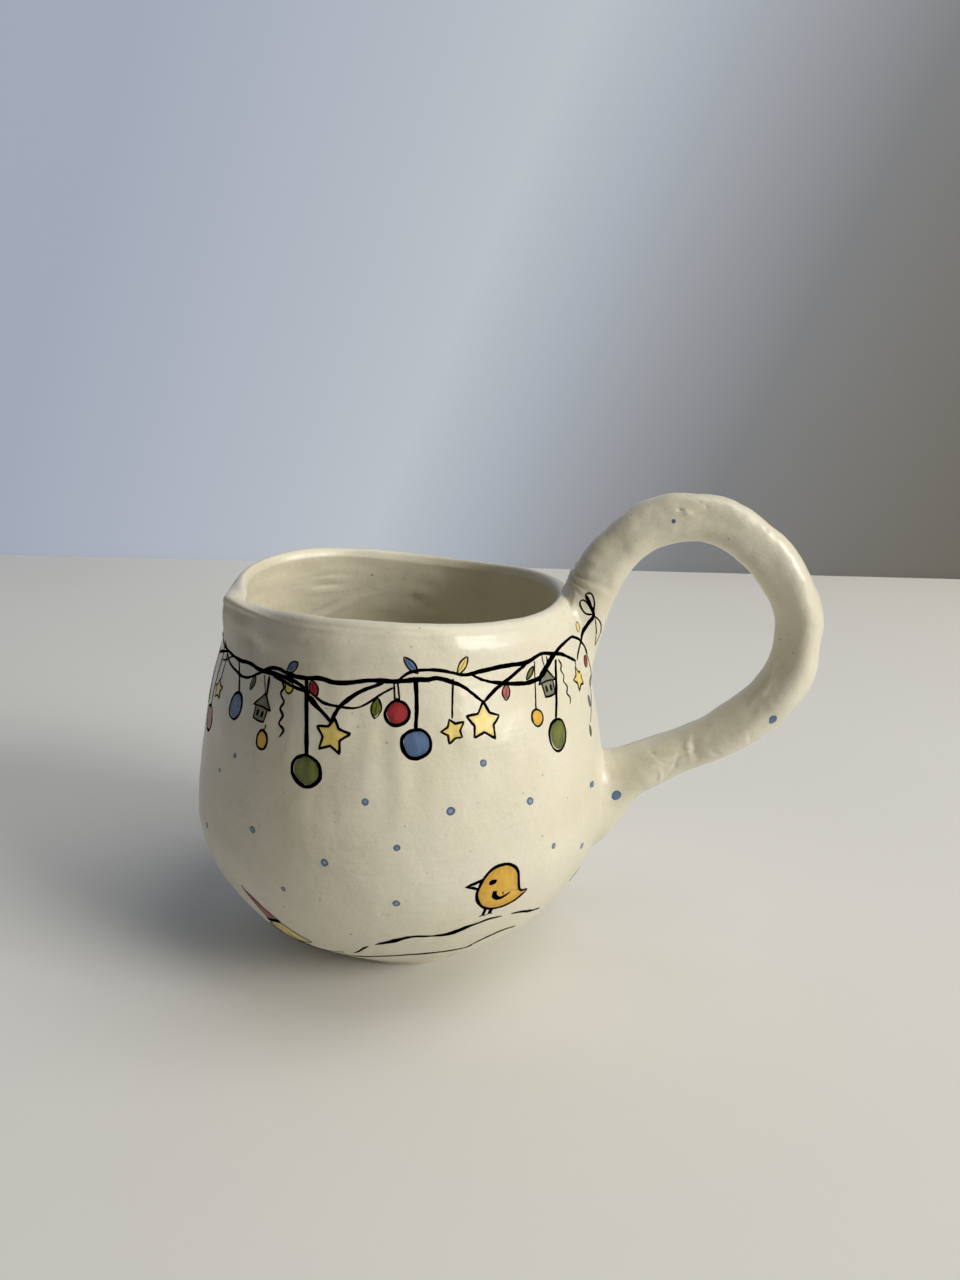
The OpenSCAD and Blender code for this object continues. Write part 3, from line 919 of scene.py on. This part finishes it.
# --- garland carried on round the back
stroke([(16, 79.0), (22, 77.4), (30, 75.6), (38, 74.9), (47, 75.6), (56, 76.4), (66, 75.9), (76, 74.6), (85, 73.9), (95, 74.8), (104, 76.0), (114, 76.4), (124, 75.2), (133, 74.0), (143, 74.4), (153, 76.0), (163, 76.6), (173, 75.6), (183, 75.0), (194, 76.4), (205, 77.2)],
       [0.6, 0.9, 1.0, 1.1, 1.0, 0.9, 1.1, 1.0, 0.9, 1.1, 1.0, 0.8, 1.0, 1.1, 0.9, 0.6], drift=0.15)
stroke([(18, 76.0), (26, 77.4), (36, 77.2), (44, 75.2), (50, 72.6), (56, 71.6), (62, 73.0), (68, 75.6)], [0.5, 0.8, 0.9, 0.9, 0.8, 0.7], drift=0.1)
stroke([(80, 74.0), (88, 76.4), (97, 77.4), (106, 75.8), (112, 73.0), (118, 71.4), (124, 72.8), (130, 74.6)], [0.5, 0.8, 1.0, 0.9, 0.8, 0.6], drift=0.1)
stroke([(138, 74.0), (147, 73.0), (156, 73.6), (165, 76.0), (172, 77.6), (180, 77.2), (188, 75.4)], [0.5, 0.8, 0.9, 0.9, 0.8, 0.5], drift=0.1)
stroke([(186, 75.0), (192, 73.4), (199, 72.8), (206, 74.0), (212, 75.2)], [0.5, 0.7, 0.8, 0.6], drift=0.08)
ball(28, 65.0, 2.7, "blue_underglaze", top=(29, 75.6), w=0.8)
star(41, 68.4, 2.9, 6, top=(41.5, 74.8), w=0.45)
ball(56, 64.4, 2.3, "red_underglaze", top=(55.8, 71.4), w=0.6)
leaf(49, 78.2, 3.8, 1.6, 50, "green_underglaze")
ball(69, 60.5, 3.0, "green_underglaze", top=(68, 75.4), w=1.0, line=0.9)
lantern(82, 66.6, 5.2, 5.6, top=(82.4, 74.0))
leaf(90, 72.6, 3.2, 1.8, -70, "red_underglaze")
star(101, 66.0, 3.7, -10, top=(101.3, 75.6), w=0.5, line=0.6)
ball(118, 64.6, 2.6, "orange_underglaze", top=(118, 71.4), w=0.55)
leaf(110, 78.4, 3.8, 1.6, 130, "blue_underglaze")
squiggle(127, 74.6, 128.4, 65.4, 9, 0.7, 0.55)
ball(137, 61.6, 2.9, "blue_underglaze", top=(136.4, 74.0), w=0.85)
star(150, 67.0, 2.6, 8, top=(150.4, 73.4), w=0.4)
leaf(159, 71.8, 3.3, 1.7, 84, "green_underglaze")
ball(169, 66.2, 2.4, "red_underglaze", top=(169.4, 76.2), w=0.5, doubled=False)
leaf(176, 79.2, 3.6, 1.5, 40, "yellow_underglaze")
ball(181, 62.0, 1.8, "yellow_underglaze", top=(181, 75.0), w=0.4)
lantern(192, 66.4, 4.8, 5.4, top=(192.4, 73.6))
ball(199.5, 63.5, 2.2, "green_underglaze", top=(199, 72.8), w=0.6)

# --- the snow banks along the foot
stroke([(264.5, 14.9), (266.5, 16.0), (268.6, 17.6), (270.6, 18.8)], [0.4, 0.8, 0.5], rough=0.35)
stroke([(272.8, 19.8), (275.2, 20.6), (277.4, 21.3), (279.5, 22.0), (282, 22.8), (284.2, 23.1), (286.5, 22.9), (288.9, 22.8), (291, 22.8), (293.0, 23.0), (295.4, 23.5), (297.7, 24.1), (300.5, 24.4), (303.3, 24.7), (307.8, 24.3)],
       [0.5, 0.9, 1.5, 1.7, 1.3, 0.8, 0.7, 1.2, 1.7, 1.5, 1.0, 0.9, 0.7, 0.5], rough=0.3)
stroke([(310.6, 24.2), (313, 23.8), (315.1, 23.3), (318, 22.4), (321.0, 21.4), (324, 20.4)], [0.35, 0.6, 0.85, 0.6, 0.4], rough=0.3)
stroke([(231, 15.8), (235, 14.6), (239.4, 13.5), (243.3, 12.8), (247.6, 12.3), (252.1, 11.9), (257, 11.9), (262.2, 12.1), (267, 12.8), (272.1, 13.5), (277.7, 14.2), (282.9, 14.8), (287, 15.1), (291.6, 15.4), (296, 15.3), (299.0, 15.4), (302, 15.9)],
       [0.5, 0.9, 1.0, 0.9, 0.7, 1.0, 1.1, 0.8, 0.9, 1.1, 0.9, 0.6], rough=0.3)
stroke([(300.5, 15.9), (304.6, 17.2), (310.4, 18.3), (316, 18.2)], [0.5, 0.8, 0.7, 0.4], rough=0.35)
stroke([(243, 14.6), (250, 14.0), (256, 13.9), (261, 14.4)], [0.3, 0.5, 0.3], rough=0.35)
stroke([(342, 20.4), (347, 21.8), (352, 22.3), (358, 21.4), (365, 19.6), (372, 19.0), (380, 20.2)], [0.4, 1.2, 1.4, 0.7, 1.2, 0.4], rough=0.3)
stroke([(388, 21.2), (396, 22.9), (405, 23.2), (414, 21.6), (424, 20.4), (434, 21.4), (444, 23.6), (453, 24.2)], [0.4, 1.4, 1.5, 0.7, 1.4, 0.7, 0.4], rough=0.3)
stroke([(97, 23.6), (106, 21.8), (116, 20.6), (127, 21.6), (138, 23.6), (148, 23.8), (158, 22.0)], [0.4, 1.2, 1.4, 0.7, 1.4, 0.5], rough=0.3)
stroke([(163, 20.8), (173, 19.6), (184, 20.4), (195, 22.2), (206, 21.8), (217, 19.6), (226, 18.2)], [0.4, 1.2, 1.2, 1.4, 0.6, 0.3], rough=0.3)
stroke([(334, 14.3), (341, 13.6), (350, 13.2), (368, 14.2), (386, 15.6), (404, 15.0), (420, 13.6)], [0.3, 0.7, 0.8, 0.6, 0.7, 0.4], rough=0.3)
stroke([(64, 13.8), (82, 14.6), (100, 14.0), (118, 13.0), (136, 14.2), (154, 15.0), (172, 13.8), (190, 13.0), (208, 13.6), (224, 12.8)], [0.3, 0.7, 0.7, 0.9, 0.6, 0.8, 0.6, 0.3], rough=0.3)


def bird(th, z, s=1.0, face=-1, body="orange_underglaze", turn=0.0, wide=1.0):
    """A plain round bird. face is -1 for left. z is its middle."""
    k = float(-face) * wide

    def at(pts):
        return local(th, z, np.asarray(pts, float) * [k * s, s], turn)

    o = [(-4.45, 0.8), (-3.9, 2.6), (-2.8, 4.4), (-1.2, 5.4), (0.4, 5.6), (2.0, 5.0), (3.1, 3.7), (3.7, 1.9), (4.35, 0.2), (5.2, -0.9), (6.7, -0.9), (5.8, -2.3), (4.4, -3.8),
         (2.4, -4.9), (0.0, -5.3), (-2.2, -4.7), (-3.8, -3.15), (-4.6, -1.2)]
    fill(at(np.array(o) * 0.99), body, rings=10)
    stroke(at(o), 0.72 * s, closed=True, rough=0.3)
    stroke(at([(-3.8, 2.3), (-5.4, 1.3), (-7.4, 0.2)]), [0.7 * s, 0.9 * s, 0.5 * s])
    stroke(at([(-4.3, -0.3), (-5.6, 0.1), (-7.2, 0.2)]), [0.6 * s, 0.8 * s, 0.5 * s])
    stroke(at([(-2.7, 1.25), (-2.0, 1.6), (-1.3, 2.0)]), [1.2 * s, 1.5 * s, 1.1 * s], lift=0.06, ends=(0.6, 0.6))
    stroke(at([(-0.9, -0.5), (-0.75, -1.7), (0.4, -2.45), (1.6, -1.9), (2.7, -0.9)]), [1.5 * s, 1.6 * s, 1.0 * s, 0.75 * s, 0.4 * s], lift=0.06, ends=(0.8, 0.3))
    stroke(at([(0.9, -0.7), (1.15, -1.5)]), 0.35 * s, lift=0.055)
    for x, y0, y1 in ((-1.5, -4.9, -7.0), (-0.1, -5.1, -6.7)):
        stroke(at([(x, y0), (x + 0.1, y1)]), 1.05 * s, ends=(0.8, 0.6))
        stroke(at([(x - 0.6, y1 - 0.3), (x + 0.1, y1), (x + 0.9, y1 - 0.1)]), 0.4 * s)


def capped_bird(th, z, s=1.0, k=1.0):
    """A small round bird in a long soft cap, leaning to the left."""
    def at(pts):
        return local(th, z, np.asarray(pts, float) * [k * s, s])

    o = [(-3.6, 1.6), (-2.2, 3.2), (-0.4, 3.9), (1.4, 3.4), (3.0, 2.0), (4.2, 0.4), (6.2, -1.2), (4.4, -2.6), (2.2, -4.2), (-0.2, -4.8), (-2.4, -4.0), (-3.6, -2.2), (-4.0, -0.3)]
    fill(at(o), "yellow_underglaze", rings=8)
    stroke(at(o), 0.42 * s, closed=True, rough=0.35)
    fill(at(circle(0.45, 0.5, 10, 0.08, (-1.7, 0.9))), "black_line", lift=0.08, rings=3)
    stroke(at([(-3.8, 0.2), (-5.2, -0.5)]), [0.7 * s, 0.3 * s])
    stroke(at([(0.4, -0.6), (0.9, -1.9), (2.4, -1.8)]), 0.45 * s, lift=0.05)
    cap = [(-3.6, 2.4), (-4.0, 4.2), (-4.9, 6.4), (-6.4, 8.6), (-7.2, 10.2), (-5.6, 9.6), (-3.2, 8.0), (-1.0, 6.2), (0.8, 4.6), (-1.4, 3.4)]
    fill(at(cap), "red_underglaze", lift=0.07, rings=7)
    stroke(at([(-3.6, 2.4), (-4.0, 4.2), (-4.9, 6.4), (-6.4, 8.6), (-7.6, 11.6)]), 0.36 * s, lift=0.03)
    stroke(at([(-7.4, 10.6), (-5.6, 9.6), (-3.2, 8.0), (-1.0, 6.2), (0.9, 4.6)]), 0.36 * s, lift=0.03)
    stroke(at([(-4.0, 2.0), (-1.6, 3.2), (1.2, 4.4)]), 1.3 * s, "white_underglaze", lift=0.1, ends=(0.9, 0.9))


bird(305.2, 32.8, 0.97, -1, turn=-14, wide=1.12)
capped_bird(243.2, 18.6, 1.0)
bird(52, 30.5, 0.85, 1)
capped_bird(146, 29.5, 0.95)

# --- what goes on over the joint clay, and the spots on the handle
CLAYED = Clay()


def stroke3(pts, width, **kw):
    stroke(None, width, kind=CLAYED, xyz=CLAYED.start(pts), **kw)


def fill3(c, outline, color, tilt=0.0, lift=0.05, line=None, rings=4):
    """A small shape round the point c, its outline in mm right and up on the clay."""
    c, n = CLAYED(np.array([c], float), 0.0)
    c, n = c[0], n[0]
    right = unit(np.cross([0, 0, 1.0], n))
    upv = np.cross(n, right)
    o = np.asarray(outline, float)
    x = o[:, 0] * cosd(tilt) - o[:, 1] * sind(tilt)
    y = o[:, 0] * sind(tilt) + o[:, 1] * cosd(tilt)
    pts = c + x[:, None] * right + y[:, None] * upv
    fill(None, color, kind=CLAYED, xyz=pts, lift=lift, rings=rings, shrink=0.93 if line else 1.0)
    if line:
        stroke(None, line, kind=CLAYED, xyz=pts, closed=True, rough=0.25)


stroke3([(33.6, -23.0, 73.0), (35.0, -20.6, 74.4), (36.2, -18.3, 76.0), (37.6, -15.6, 77.4), (39.5, -10.9, 78.0), (40.6, -8.2, 77.0), (41.7, -7.6, 76.0), (42.6, -7.0, 74.6), (43.2, -6.5, 73.0)],
        [0.9, 1.25, 1.3, 1.1, 0.9, 0.7, 0.6, 0.5])
stroke3([(42.6, -7.2, 74.4), (43.3, -6.5, 72.6), (43.9, -5.6, 70.5), (44.3, -4.2, 67.2), (44.5, -4.6, 63.4), (44.4, -7.4, 60.6), (44.3, -10.2, 58.4)], [0.35, 0.3, 0.24, 0.22, 0.22])
fill3((43.0, -7.2, 71.6), circle(0.62, 1.5, 10, 0.06), "red_underglaze", 8, line=0.24)
fill3((44.4, -4.4, 66.2), circle(0.7, 1.15, 10, 0.06), "grey_underglaze", -6, line=0.26)
fill3((43.9, -7.8, 62.6), circle(0.8, 1.3, 10, 0.06), "blue_underglaze", 14, line=0.26)
stroke3([(40.8, -9.6, 72.4), (41.2, -8.6, 74.6), (41.6, -7.6, 76.3), (41.9, -6.9, 78.0), (43.0, -6.2, 79.8), (44.2, -5.5, 81.6), (43.4, -5.7, 84.0), (42.4, -5.5, 86.2)],
        [0.5, 0.6, 0.6, 1.0, 1.15, 0.8, 0.9, 1.1])
stroke3([(42.3, -5.5, 86.3), (43.2, -5.5, 86.6), (43.9, -5.5, 86.0), (44.3, -5.6, 84.2), (44.1, -5.5, 82.0)], [0.7, 0.45, 0.4, 0.4])
stroke3([(44.1, -5.5, 81.8), (42.5, -6.1, 82.1), (41.4, -6.1, 83.5), (41.2, -5.8, 84.7), (42.1, -5.7, 85.0), (43.2, -5.7, 83.8), (44.0, -5.5, 82.0)], [0.45, 0.4, 0.4, 0.45])
stroke3([(44.4, -5.4, 81.5), (45.3, -4.7, 80.4), (45.9, -4.1, 79.3), (46.1, -3.5, 77.2), (45.7, -3.8, 75.6), (45.2, -4.2, 74.0)], [0.45, 0.4, 0.3, 0.2])
stroke3([(44.5, -5.3, 81.1), (44.7, -5.2, 79.8), (45.0, -4.9, 78.1), (45.1, -4.6, 76.6), (45.2, -4.2, 74.2)], [0.35, 0.3, 0.2])
fill3((40.5, -7.5, 79.4), circle(0.45, 1.2, 10, 0.05), "yellow_underglaze", 6, line=0.16)
fill3((50.7, -6.0, 39.4), circle(1.3, 1.35, 12, 0.04), "blue_underglaze")
fill3((84.4, -5.6, 58.8), circle(1.05, 1.5, 12, 0.06), "blue_underglaze", 12)
fill3((60.3, -5.4, 102.6), circle(0.5, 0.55, 10, 0.1), "blue_underglaze")
for c_, r_ in (((44.8, -14.9, 45.6), 0.75), ((58.0, 5.6, 45.9), 0.8), ((80.5, 4.6, 99.0), 0.75), ((88.0, 5.4, 76.0), 0.7), ((50.0, 7.0, 37.5), 0.9)):
    fill3(c_, circle(r_, r_, 12, 0.07), "blue_underglaze")
# the far side of the joint, with the other end of the garland
stroke3([(40.6, 15.0, 77.6), (41.2, 12.0, 78.4), (41.8, 9.6, 78.0), (42.6, 8.0, 79.6), (43.4, 7.2, 81.8), (43.2, 6.9, 84.0)], [0.7, 1.0, 0.9, 1.0, 0.9, 0.6])
stroke3([(43.2, 6.9, 84.0), (44.0, 6.6, 82.6), (43.4, 7.1, 81.6)], 0.4)

MATS = {}


def put(obj, node, mat):
    obj.data.materials.clear()
    obj.data.materials.append(mat)
    if node:
        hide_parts(node)
    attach(obj, "root")


# ---------------------------------------------------------------- materials
def new_mat(name):
    m = bpy.data.materials.new(name)
    m.use_nodes = True
    nt = m.node_tree
    b = nt.nodes["Principled BSDF"]
    tc = nt.nodes.new("ShaderNodeTexCoord")
    return m, nt, b, tc


def noise(nt, vec, scale, detail=3.0, rough=0.55, dist=0.0, stretch=None):
    if stretch is not None:
        mp = nt.nodes.new("ShaderNodeMapping")
        mp.inputs["Scale"].default_value = stretch
        nt.links.new(vec, mp.inputs["Vector"])
        vec = mp.outputs["Vector"]
    n = nt.nodes.new("ShaderNodeTexNoise")
    n.inputs["Scale"].default_value = scale
    n.inputs["Detail"].default_value = detail
    n.inputs["Roughness"].default_value = rough
    n.inputs["Distortion"].default_value = dist
    nt.links.new(vec, n.inputs["Vector"])
    return n.outputs["Fac"]


def ramp(nt, fac, stops, mode="LINEAR"):
    r = nt.nodes.new("ShaderNodeValToRGB")
    r.color_ramp.interpolation = mode
    el = r.color_ramp.elements
    while len(el) > 1:
        el.remove(el[-1])
    el[0].position, el[0].color = stops[0][0], (*stops[0][1], 1)
    for p, c in stops[1:]:
        e = el.new(p)
        e.color = (*c, 1)
    nt.links.new(fac, r.inputs["Fac"])
    return r.outputs["Color"]


def mix(nt, fac, a, b, blend="MIX"):
    n = nt.nodes.new("ShaderNodeMix")
    n.data_type = "RGBA"
    n.blend_type = blend
    for sock, v in ((n.inputs[0], fac), (n.inputs[6], a), (n.inputs[7], b)):
        if isinstance(v, (int, float)):
            sock.default_value = v
        elif isinstance(v, tuple):
            sock.default_value = (*v, 1)
        else:
            nt.links.new(v, sock)
    return n.outputs[2]


def to_range(nt, fac, a, b, c, d):
    n = nt.nodes.new("ShaderNodeMapRange")
    n.inputs["From Min"].default_value = a
    n.inputs["From Max"].default_value = b
    n.inputs["To Min"].default_value = c
    n.inputs["To Max"].default_value = d
    nt.links.new(fac, n.inputs["Value"])
    return n.outputs["Result"]


def bump(nt, pairs, bsdf):
    last = None
    for fac, dist, strength in pairs:
        n = nt.nodes.new("ShaderNodeBump")
        n.inputs["Distance"].default_value = dist
        n.inputs["Strength"].default_value = strength
        nt.links.new(fac, n.inputs["Height"])
        if last is not None:
            nt.links.new(last, n.inputs["Normal"])
        last = n.outputs["Normal"]
    nt.links.new(last, bsdf.inputs["Normal"])
    return last


def glaze_mat():
    m, nt, b, tc = new_mat("glazed_stoneware")
    v = tc.outputs["Object"]
    big = noise(nt, v, 55, 4, 0.55)
    mid_ = noise(nt, v, 220, 4, 0.6)
    col = ramp(nt, big, [(0.3, (0.66, 0.615, 0.475)), (0.5, (0.71, 0.668, 0.535)), (0.72, (0.745, 0.71, 0.59))])
    col = mix(nt, to_range(nt, mid_, 0.35, 0.7, 0.0, 0.22), col, (0.60, 0.55, 0.40))
    cool = noise(nt, v, 95, 3, 0.5, 0.4)
    col = mix(nt, to_range(nt, cool, 0.45, 0.7, 0.0, 0.32), col, (0.70, 0.665, 0.61))
    leather = noise(nt, v, 900, 3, 0.6)
    col = mix(nt, to_range(nt, leather, 0.38, 0.68, 0.0, 0.12), col, (0.50, 0.46, 0.35))
    # a few iron specks and grey dust in the glaze
    sp = noise(nt, v, 760, 2, 0.5)
    col = mix(nt, to_range(nt, sp, 0.735, 0.77, 0.0, 0.55), col, (0.20, 0.16, 0.10))
    sp2 = noise(nt, v, 1500, 2, 0.5)
    col = mix(nt, to_range(nt, sp2, 0.66, 0.74, 0.0, 0.22), col, (0.38, 0.34, 0.27))
    nt.links.new(col, b.inputs["Base Color"])
    rg = noise(nt, v, 120, 5, 0.6)
    nt.links.new(to_range(nt, rg, 0.3, 0.7, 0.31, 0.46), b.inputs["Roughness"])
    b.inputs["Coat Weight"].default_value = 0.22
    b.inputs["Coat Roughness"].default_value = 0.17
    b.inputs["IOR"].default_value = 1.5
    b.inputs["Subsurface Weight"].default_value = 0.0
    peel = noise(nt, v, 420, 3, 0.5)
    grain = noise(nt, v, 1900, 3, 0.6)
    brushed = noise(nt, v, 90, 4, 0.55, 0.3, (0.7, 0.7, 7.0))
    bump(nt, [(brushed, 0.0003, 0.3), (peel, 0.00026, 0.5), (grain, 0.00008, 0.55)], b)
    return m


def clay_mat():
    m, nt, b, tc = new_mat("bare_clay")
    v = tc.outputs["Object"]
    big = noise(nt, v, 130, 5, 0.6)
    col = ramp(nt, big, [(0.3, (0.56, 0.51, 0.40)), (0.55, (0.63, 0.58, 0.48)), (0.75, (0.69, 0.65, 0.55))])
    sp = noise(nt, v, 1100, 3, 0.6)
    col = mix(nt, to_range(nt, sp, 0.62, 0.72, 0.0, 0.6), col, (0.36, 0.29, 0.20))
    nt.links.new(col, b.inputs["Base Color"])
    nt.links.new(to_range(nt, sp, 0.3, 0.7, 0.78, 0.95), b.inputs["Roughness"])
    grit = noise(nt, v, 1600, 5, 0.7)
    bump(nt, [(grit, 0.0003, 0.5), (big, 0.0004, 0.3)], b)
    return m


def paint_mat(name, thin, full, edge, rough=(0.28, 0.42), streak=(1, 1, 0.35), grain_scale=900, pale_col=None):
    """Underglaze brushed on by hand: thinner and thicker places, pooled at its edge."""
    m, nt, b, tc = new_mat(name)
    v = tc.outputs["Object"]
    wash = noise(nt, v, 520, 4, 0.6, 0.4, streak)
    col = ramp(nt, wash, [(0.32, thin), (0.6, full)])
    at = nt.nodes.new("ShaderNodeAttribute")
    at.attribute_name = "edge"
    e2 = noise(nt, v, 1400, 2, 0.5)
    ed = nt.nodes.new("ShaderNodeMath")
    ed.operation = "ADD"
    nt.links.new(at.outputs["Fac"], ed.inputs[0])
    nt.links.new(to_range(nt, e2, 0.3, 0.7, -0.12, 0.12), ed.inputs[1])
    col = mix(nt, to_range(nt, ed.outputs[0], 0.62, 1.0, 0.0, 0.75), col, edge)
    fine = noise(nt, v, grain_scale * 2, 3, 0.6)
    col = mix(nt, to_range(nt, fine, 0.4, 0.75, 0.0, 0.25), col, thin)
    if pale_col:
        # snow spots dry with a pale middle
        ap = nt.nodes.new("ShaderNodeAttribute")
        ap.attribute_name = "pale"
        mid_fac = to_range(nt, ed.outputs[0], 0.30, 0.62, 0.85, 0.0)
        mul = nt.nodes.new("ShaderNodeMath")
        mul.operation = "MULTIPLY"
        nt.links.new(ap.outputs["Fac"], mul.inputs[0])
        nt.links.new(mid_fac, mul.inputs[1])
        col = mix(nt, mul.outputs[0], col, pale_col)
    nt.links.new(col, b.inputs["Base Color"])
    nt.links.new(to_range(nt, fine, 0.3, 0.7, rough[0], rough[1]), b.inputs["Roughness"])
    b.inputs["Coat Weight"].default_value = 0.12
    b.inputs["Coat Roughness"].default_value = 0.2
    peel = noise(nt, v, 700, 3, 0.5)
    bump(nt, [(peel, 0.0001, 0.3), (wash, 0.00008, 0.4)], b)
    return m


GLAZE = glaze_mat()
CLAY = clay_mat()
PAINTS = {
    "black_line": paint_mat("black_line", (0.030, 0.026, 0.022), (0.006, 0.005, 0.006), (0.010, 0.009, 0.010)),
    "blue_underglaze": paint_mat("blue_underglaze", (0.115, 0.185, 0.32), (0.055, 0.10, 0.205), (0.026, 0.046, 0.115), pale_col=(0.30, 0.37, 0.47)),
    "red_underglaze": paint_mat("red_underglaze", (0.40, 0.045, 0.05), (0.24, 0.012, 0.018), (0.13, 0.008, 0.012)),
    "green_underglaze": paint_mat("green_underglaze", (0.17, 0.185, 0.03), (0.075, 0.095, 0.012), (0.04, 0.05, 0.01)),
    "yellow_underglaze": paint_mat("yellow_underglaze", (0.80, 0.66, 0.24), (0.70, 0.53, 0.13), (0.50, 0.34, 0.07)),
    "orange_underglaze": paint_mat("orange_underglaze", (0.72, 0.45, 0.07), (0.62, 0.35, 0.035), (0.44, 0.21, 0.015)),
    "grey_underglaze": paint_mat("grey_underglaze", (0.27, 0.27, 0.20), (0.15, 0.15, 0.11), (0.06, 0.06, 0.045)),
    "white_underglaze": paint_mat("white_underglaze", (0.78, 0.76, 0.68), (0.82, 0.81, 0.76), (0.62, 0.58, 0.48)),
}
put(cup_wall, "cup_wall", GLAZE)
put(cup_base, "cup_base", GLAZE)
put(coil_obj, "handle_coil", GLAZE)
put(upper_clay, "upper_joint_clay", GLAZE)
put(lower_clay, "lower_joint_clay", GLAZE)
put(foot, "foot_ring", CLAY)
for name, p in paints.items():
    V = np.concatenate(p.v)
    N = unit(np.concatenate(p.n))
    E = np.concatenate(p.e)
    quads = np.concatenate(p.q).tolist() if p.q else []
    tris = np.concatenate(p.t).tolist() if p.t else []
    o = make("painted_" + name, V, quads, tris, N, {"edge": E, "pale": np.concatenate(p.p)})
    put(o, None, PAINTS[name])

# ---------------------------------------------------------------- plain table, a glowing back wall with painted light and shade, and soft light
def plane(name, verts, mat):
    me = bpy.data.meshes.new(name)
    me.from_pydata(verts, [], [(0, 1, 2, 3)])
    o = bpy.data.objects.new(name, me)
    bpy.context.scene.collection.objects.link(o)
    me.materials.append(mat)
    return o


def table_mat():
    m, nt, b, tc = new_mat("table_top")
    v = tc.outputs["Object"]
    n = noise(nt, v, 6, 3, 0.5)
    col = ramp(nt, n, [(0.3, (0.76, 0.755, 0.725)), (0.7, (0.78, 0.775, 0.745))])
    nt.links.new(col, b.inputs["Base Color"])
    fine = noise(nt, v, 90, 3, 0.5)
    nt.links.new(to_range(nt, fine, 0.3, 0.7, 0.68, 0.76), b.inputs["Roughness"])
    b.inputs["Specular IOR Level"].default_value = 0.12
    return m


def painted_glow_wall_mat():
    m, nt, b, tc = new_mat("painted_glow_backdrop")
    # the back wall's colour is painted light and shade: a bright blue-grey band that darkens a little upward and to
    # brown-black lower down and to the right
    sep = nt.nodes.new("ShaderNodeSeparateXYZ")
    nt.links.new(tc.outputs["Object"], sep.inputs[0])
    k = nt.nodes.new("ShaderNodeMath")
    k.operation = "MULTIPLY_ADD"
    k.inputs[1].default_value = -0.45
    nt.links.new(sep.outputs["Z"], k.inputs[0])
    nt.links.new(sep.outputs["X"], k.inputs[2])
    g = to_range(nt, k.outputs[0], -0.40, 0.30, 0.0, 1.0)
    stops = [(0.0, (0.35, 0.39, 0.49)), (0.29, (0.45, 0.49, 0.56)), (0.40, (0.49, 0.53, 0.58)), (0.50, (0.38, 0.42, 0.485)), (0.61, (0.27, 0.28, 0.31)),
             (0.71, (0.165, 0.17, 0.18)), (0.86, (0.125, 0.12, 0.105)), (1.0, (0.09, 0.085, 0.06))]
    col = ramp(nt, g, stops)
    n = noise(nt, tc.outputs["Object"], 5, 2, 0.5)
    col = mix(nt, to_range(nt, n, 0.3, 0.7, 0.0, 0.05), col, (0.4, 0.4, 0.4))
    # the painted light is emitted, so the back wall glows on its own over a near-black base colour
    nt.links.new(col, b.inputs["Emission Color"])
    b.inputs["Emission Strength"].default_value = 0.93
    b.inputs["Base Color"].default_value = (0.06, 0.06, 0.06, 1)
    b.inputs["Roughness"].default_value = 0.9
    b.inputs["Specular IOR Level"].default_value = 0.1
    return m


TABLE = table_mat()
plane("table", [(-3.0, -2.0, 0), (3.0, -2.0, 0), (3.0, 0.425, 0), (-3.0, 0.425, 0)], TABLE)
plane("painted_glow_backdrop", [(-3.0, 0.43, -0.6), (3.0, 0.43, -0.6), (3.0, 0.43, 3.0), (-3.0, 0.43, 3.0)], painted_glow_wall_mat())


def area(name, loc, target, size, power, color, size_y=None):
    d = bpy.data.lights.new(name, "AREA")
    d.energy = power
    d.color = color
    d.shape = "RECTANGLE"
    d.size = size
    d.size_y = size_y or size
    o = bpy.data.objects.new(name, d)
    bpy.context.scene.collection.objects.link(o)
    o.location = loc
    direction = Vector(target) - Vector(loc)
    o.rotation_euler = direction.to_track_quat("-Z", "Y").to_euler()
    return o


area("key", (2.18, -0.90, 1.00), (0.02, 0.0, 0.04), 1.0, 49.0, (1.0, 0.965, 0.88), 1.0)
area("top", (0.60, -0.05, 1.06), (0.02, 0.0, 0.04), 0.8, 5.6, (1.0, 0.98, 0.93))
world = bpy.data.worlds.new("studio")
bpy.context.scene.world = world
world.use_nodes = True
world.node_tree.nodes["Background"].inputs["Color"].default_value = (1.0, 0.90, 0.72, 1)
world.node_tree.nodes["Background"].inputs["Strength"].default_value = 0.045

# ---------------------------------------------------------------- camera, as the photograph was taken
cam = bpy.data.cameras.new("camera")
cam.lens = 27.0
cam.sensor_width = 36.0
cam.sensor_fit = "AUTO"
cam.clip_start = 0.01
co = bpy.data.objects.new("camera", cam)
bpy.context.scene.collection.objects.link(co)
fwd = Vector((-0.118428, 0.952469, -0.280675)).normalized()
up = Vector((-0.034632, 0.278530, 0.959803)).normalized()
right = fwd.cross(up).normalized()
up = right.cross(fwd).normalized()
M = Matrix.Identity(4)
for i in range(3):
    M[i][0], M[i][1], M[i][2] = right[i], up[i], -fwd[i]
M[0][3], M[1][3], M[2][3] = 0.04461, -0.20988, 0.13531
co.matrix_world = M
bpy.context.scene.camera = co
bpy.context.scene.view_settings.view_transform = "Standard"
bpy.context.scene.view_settings.look = "None"
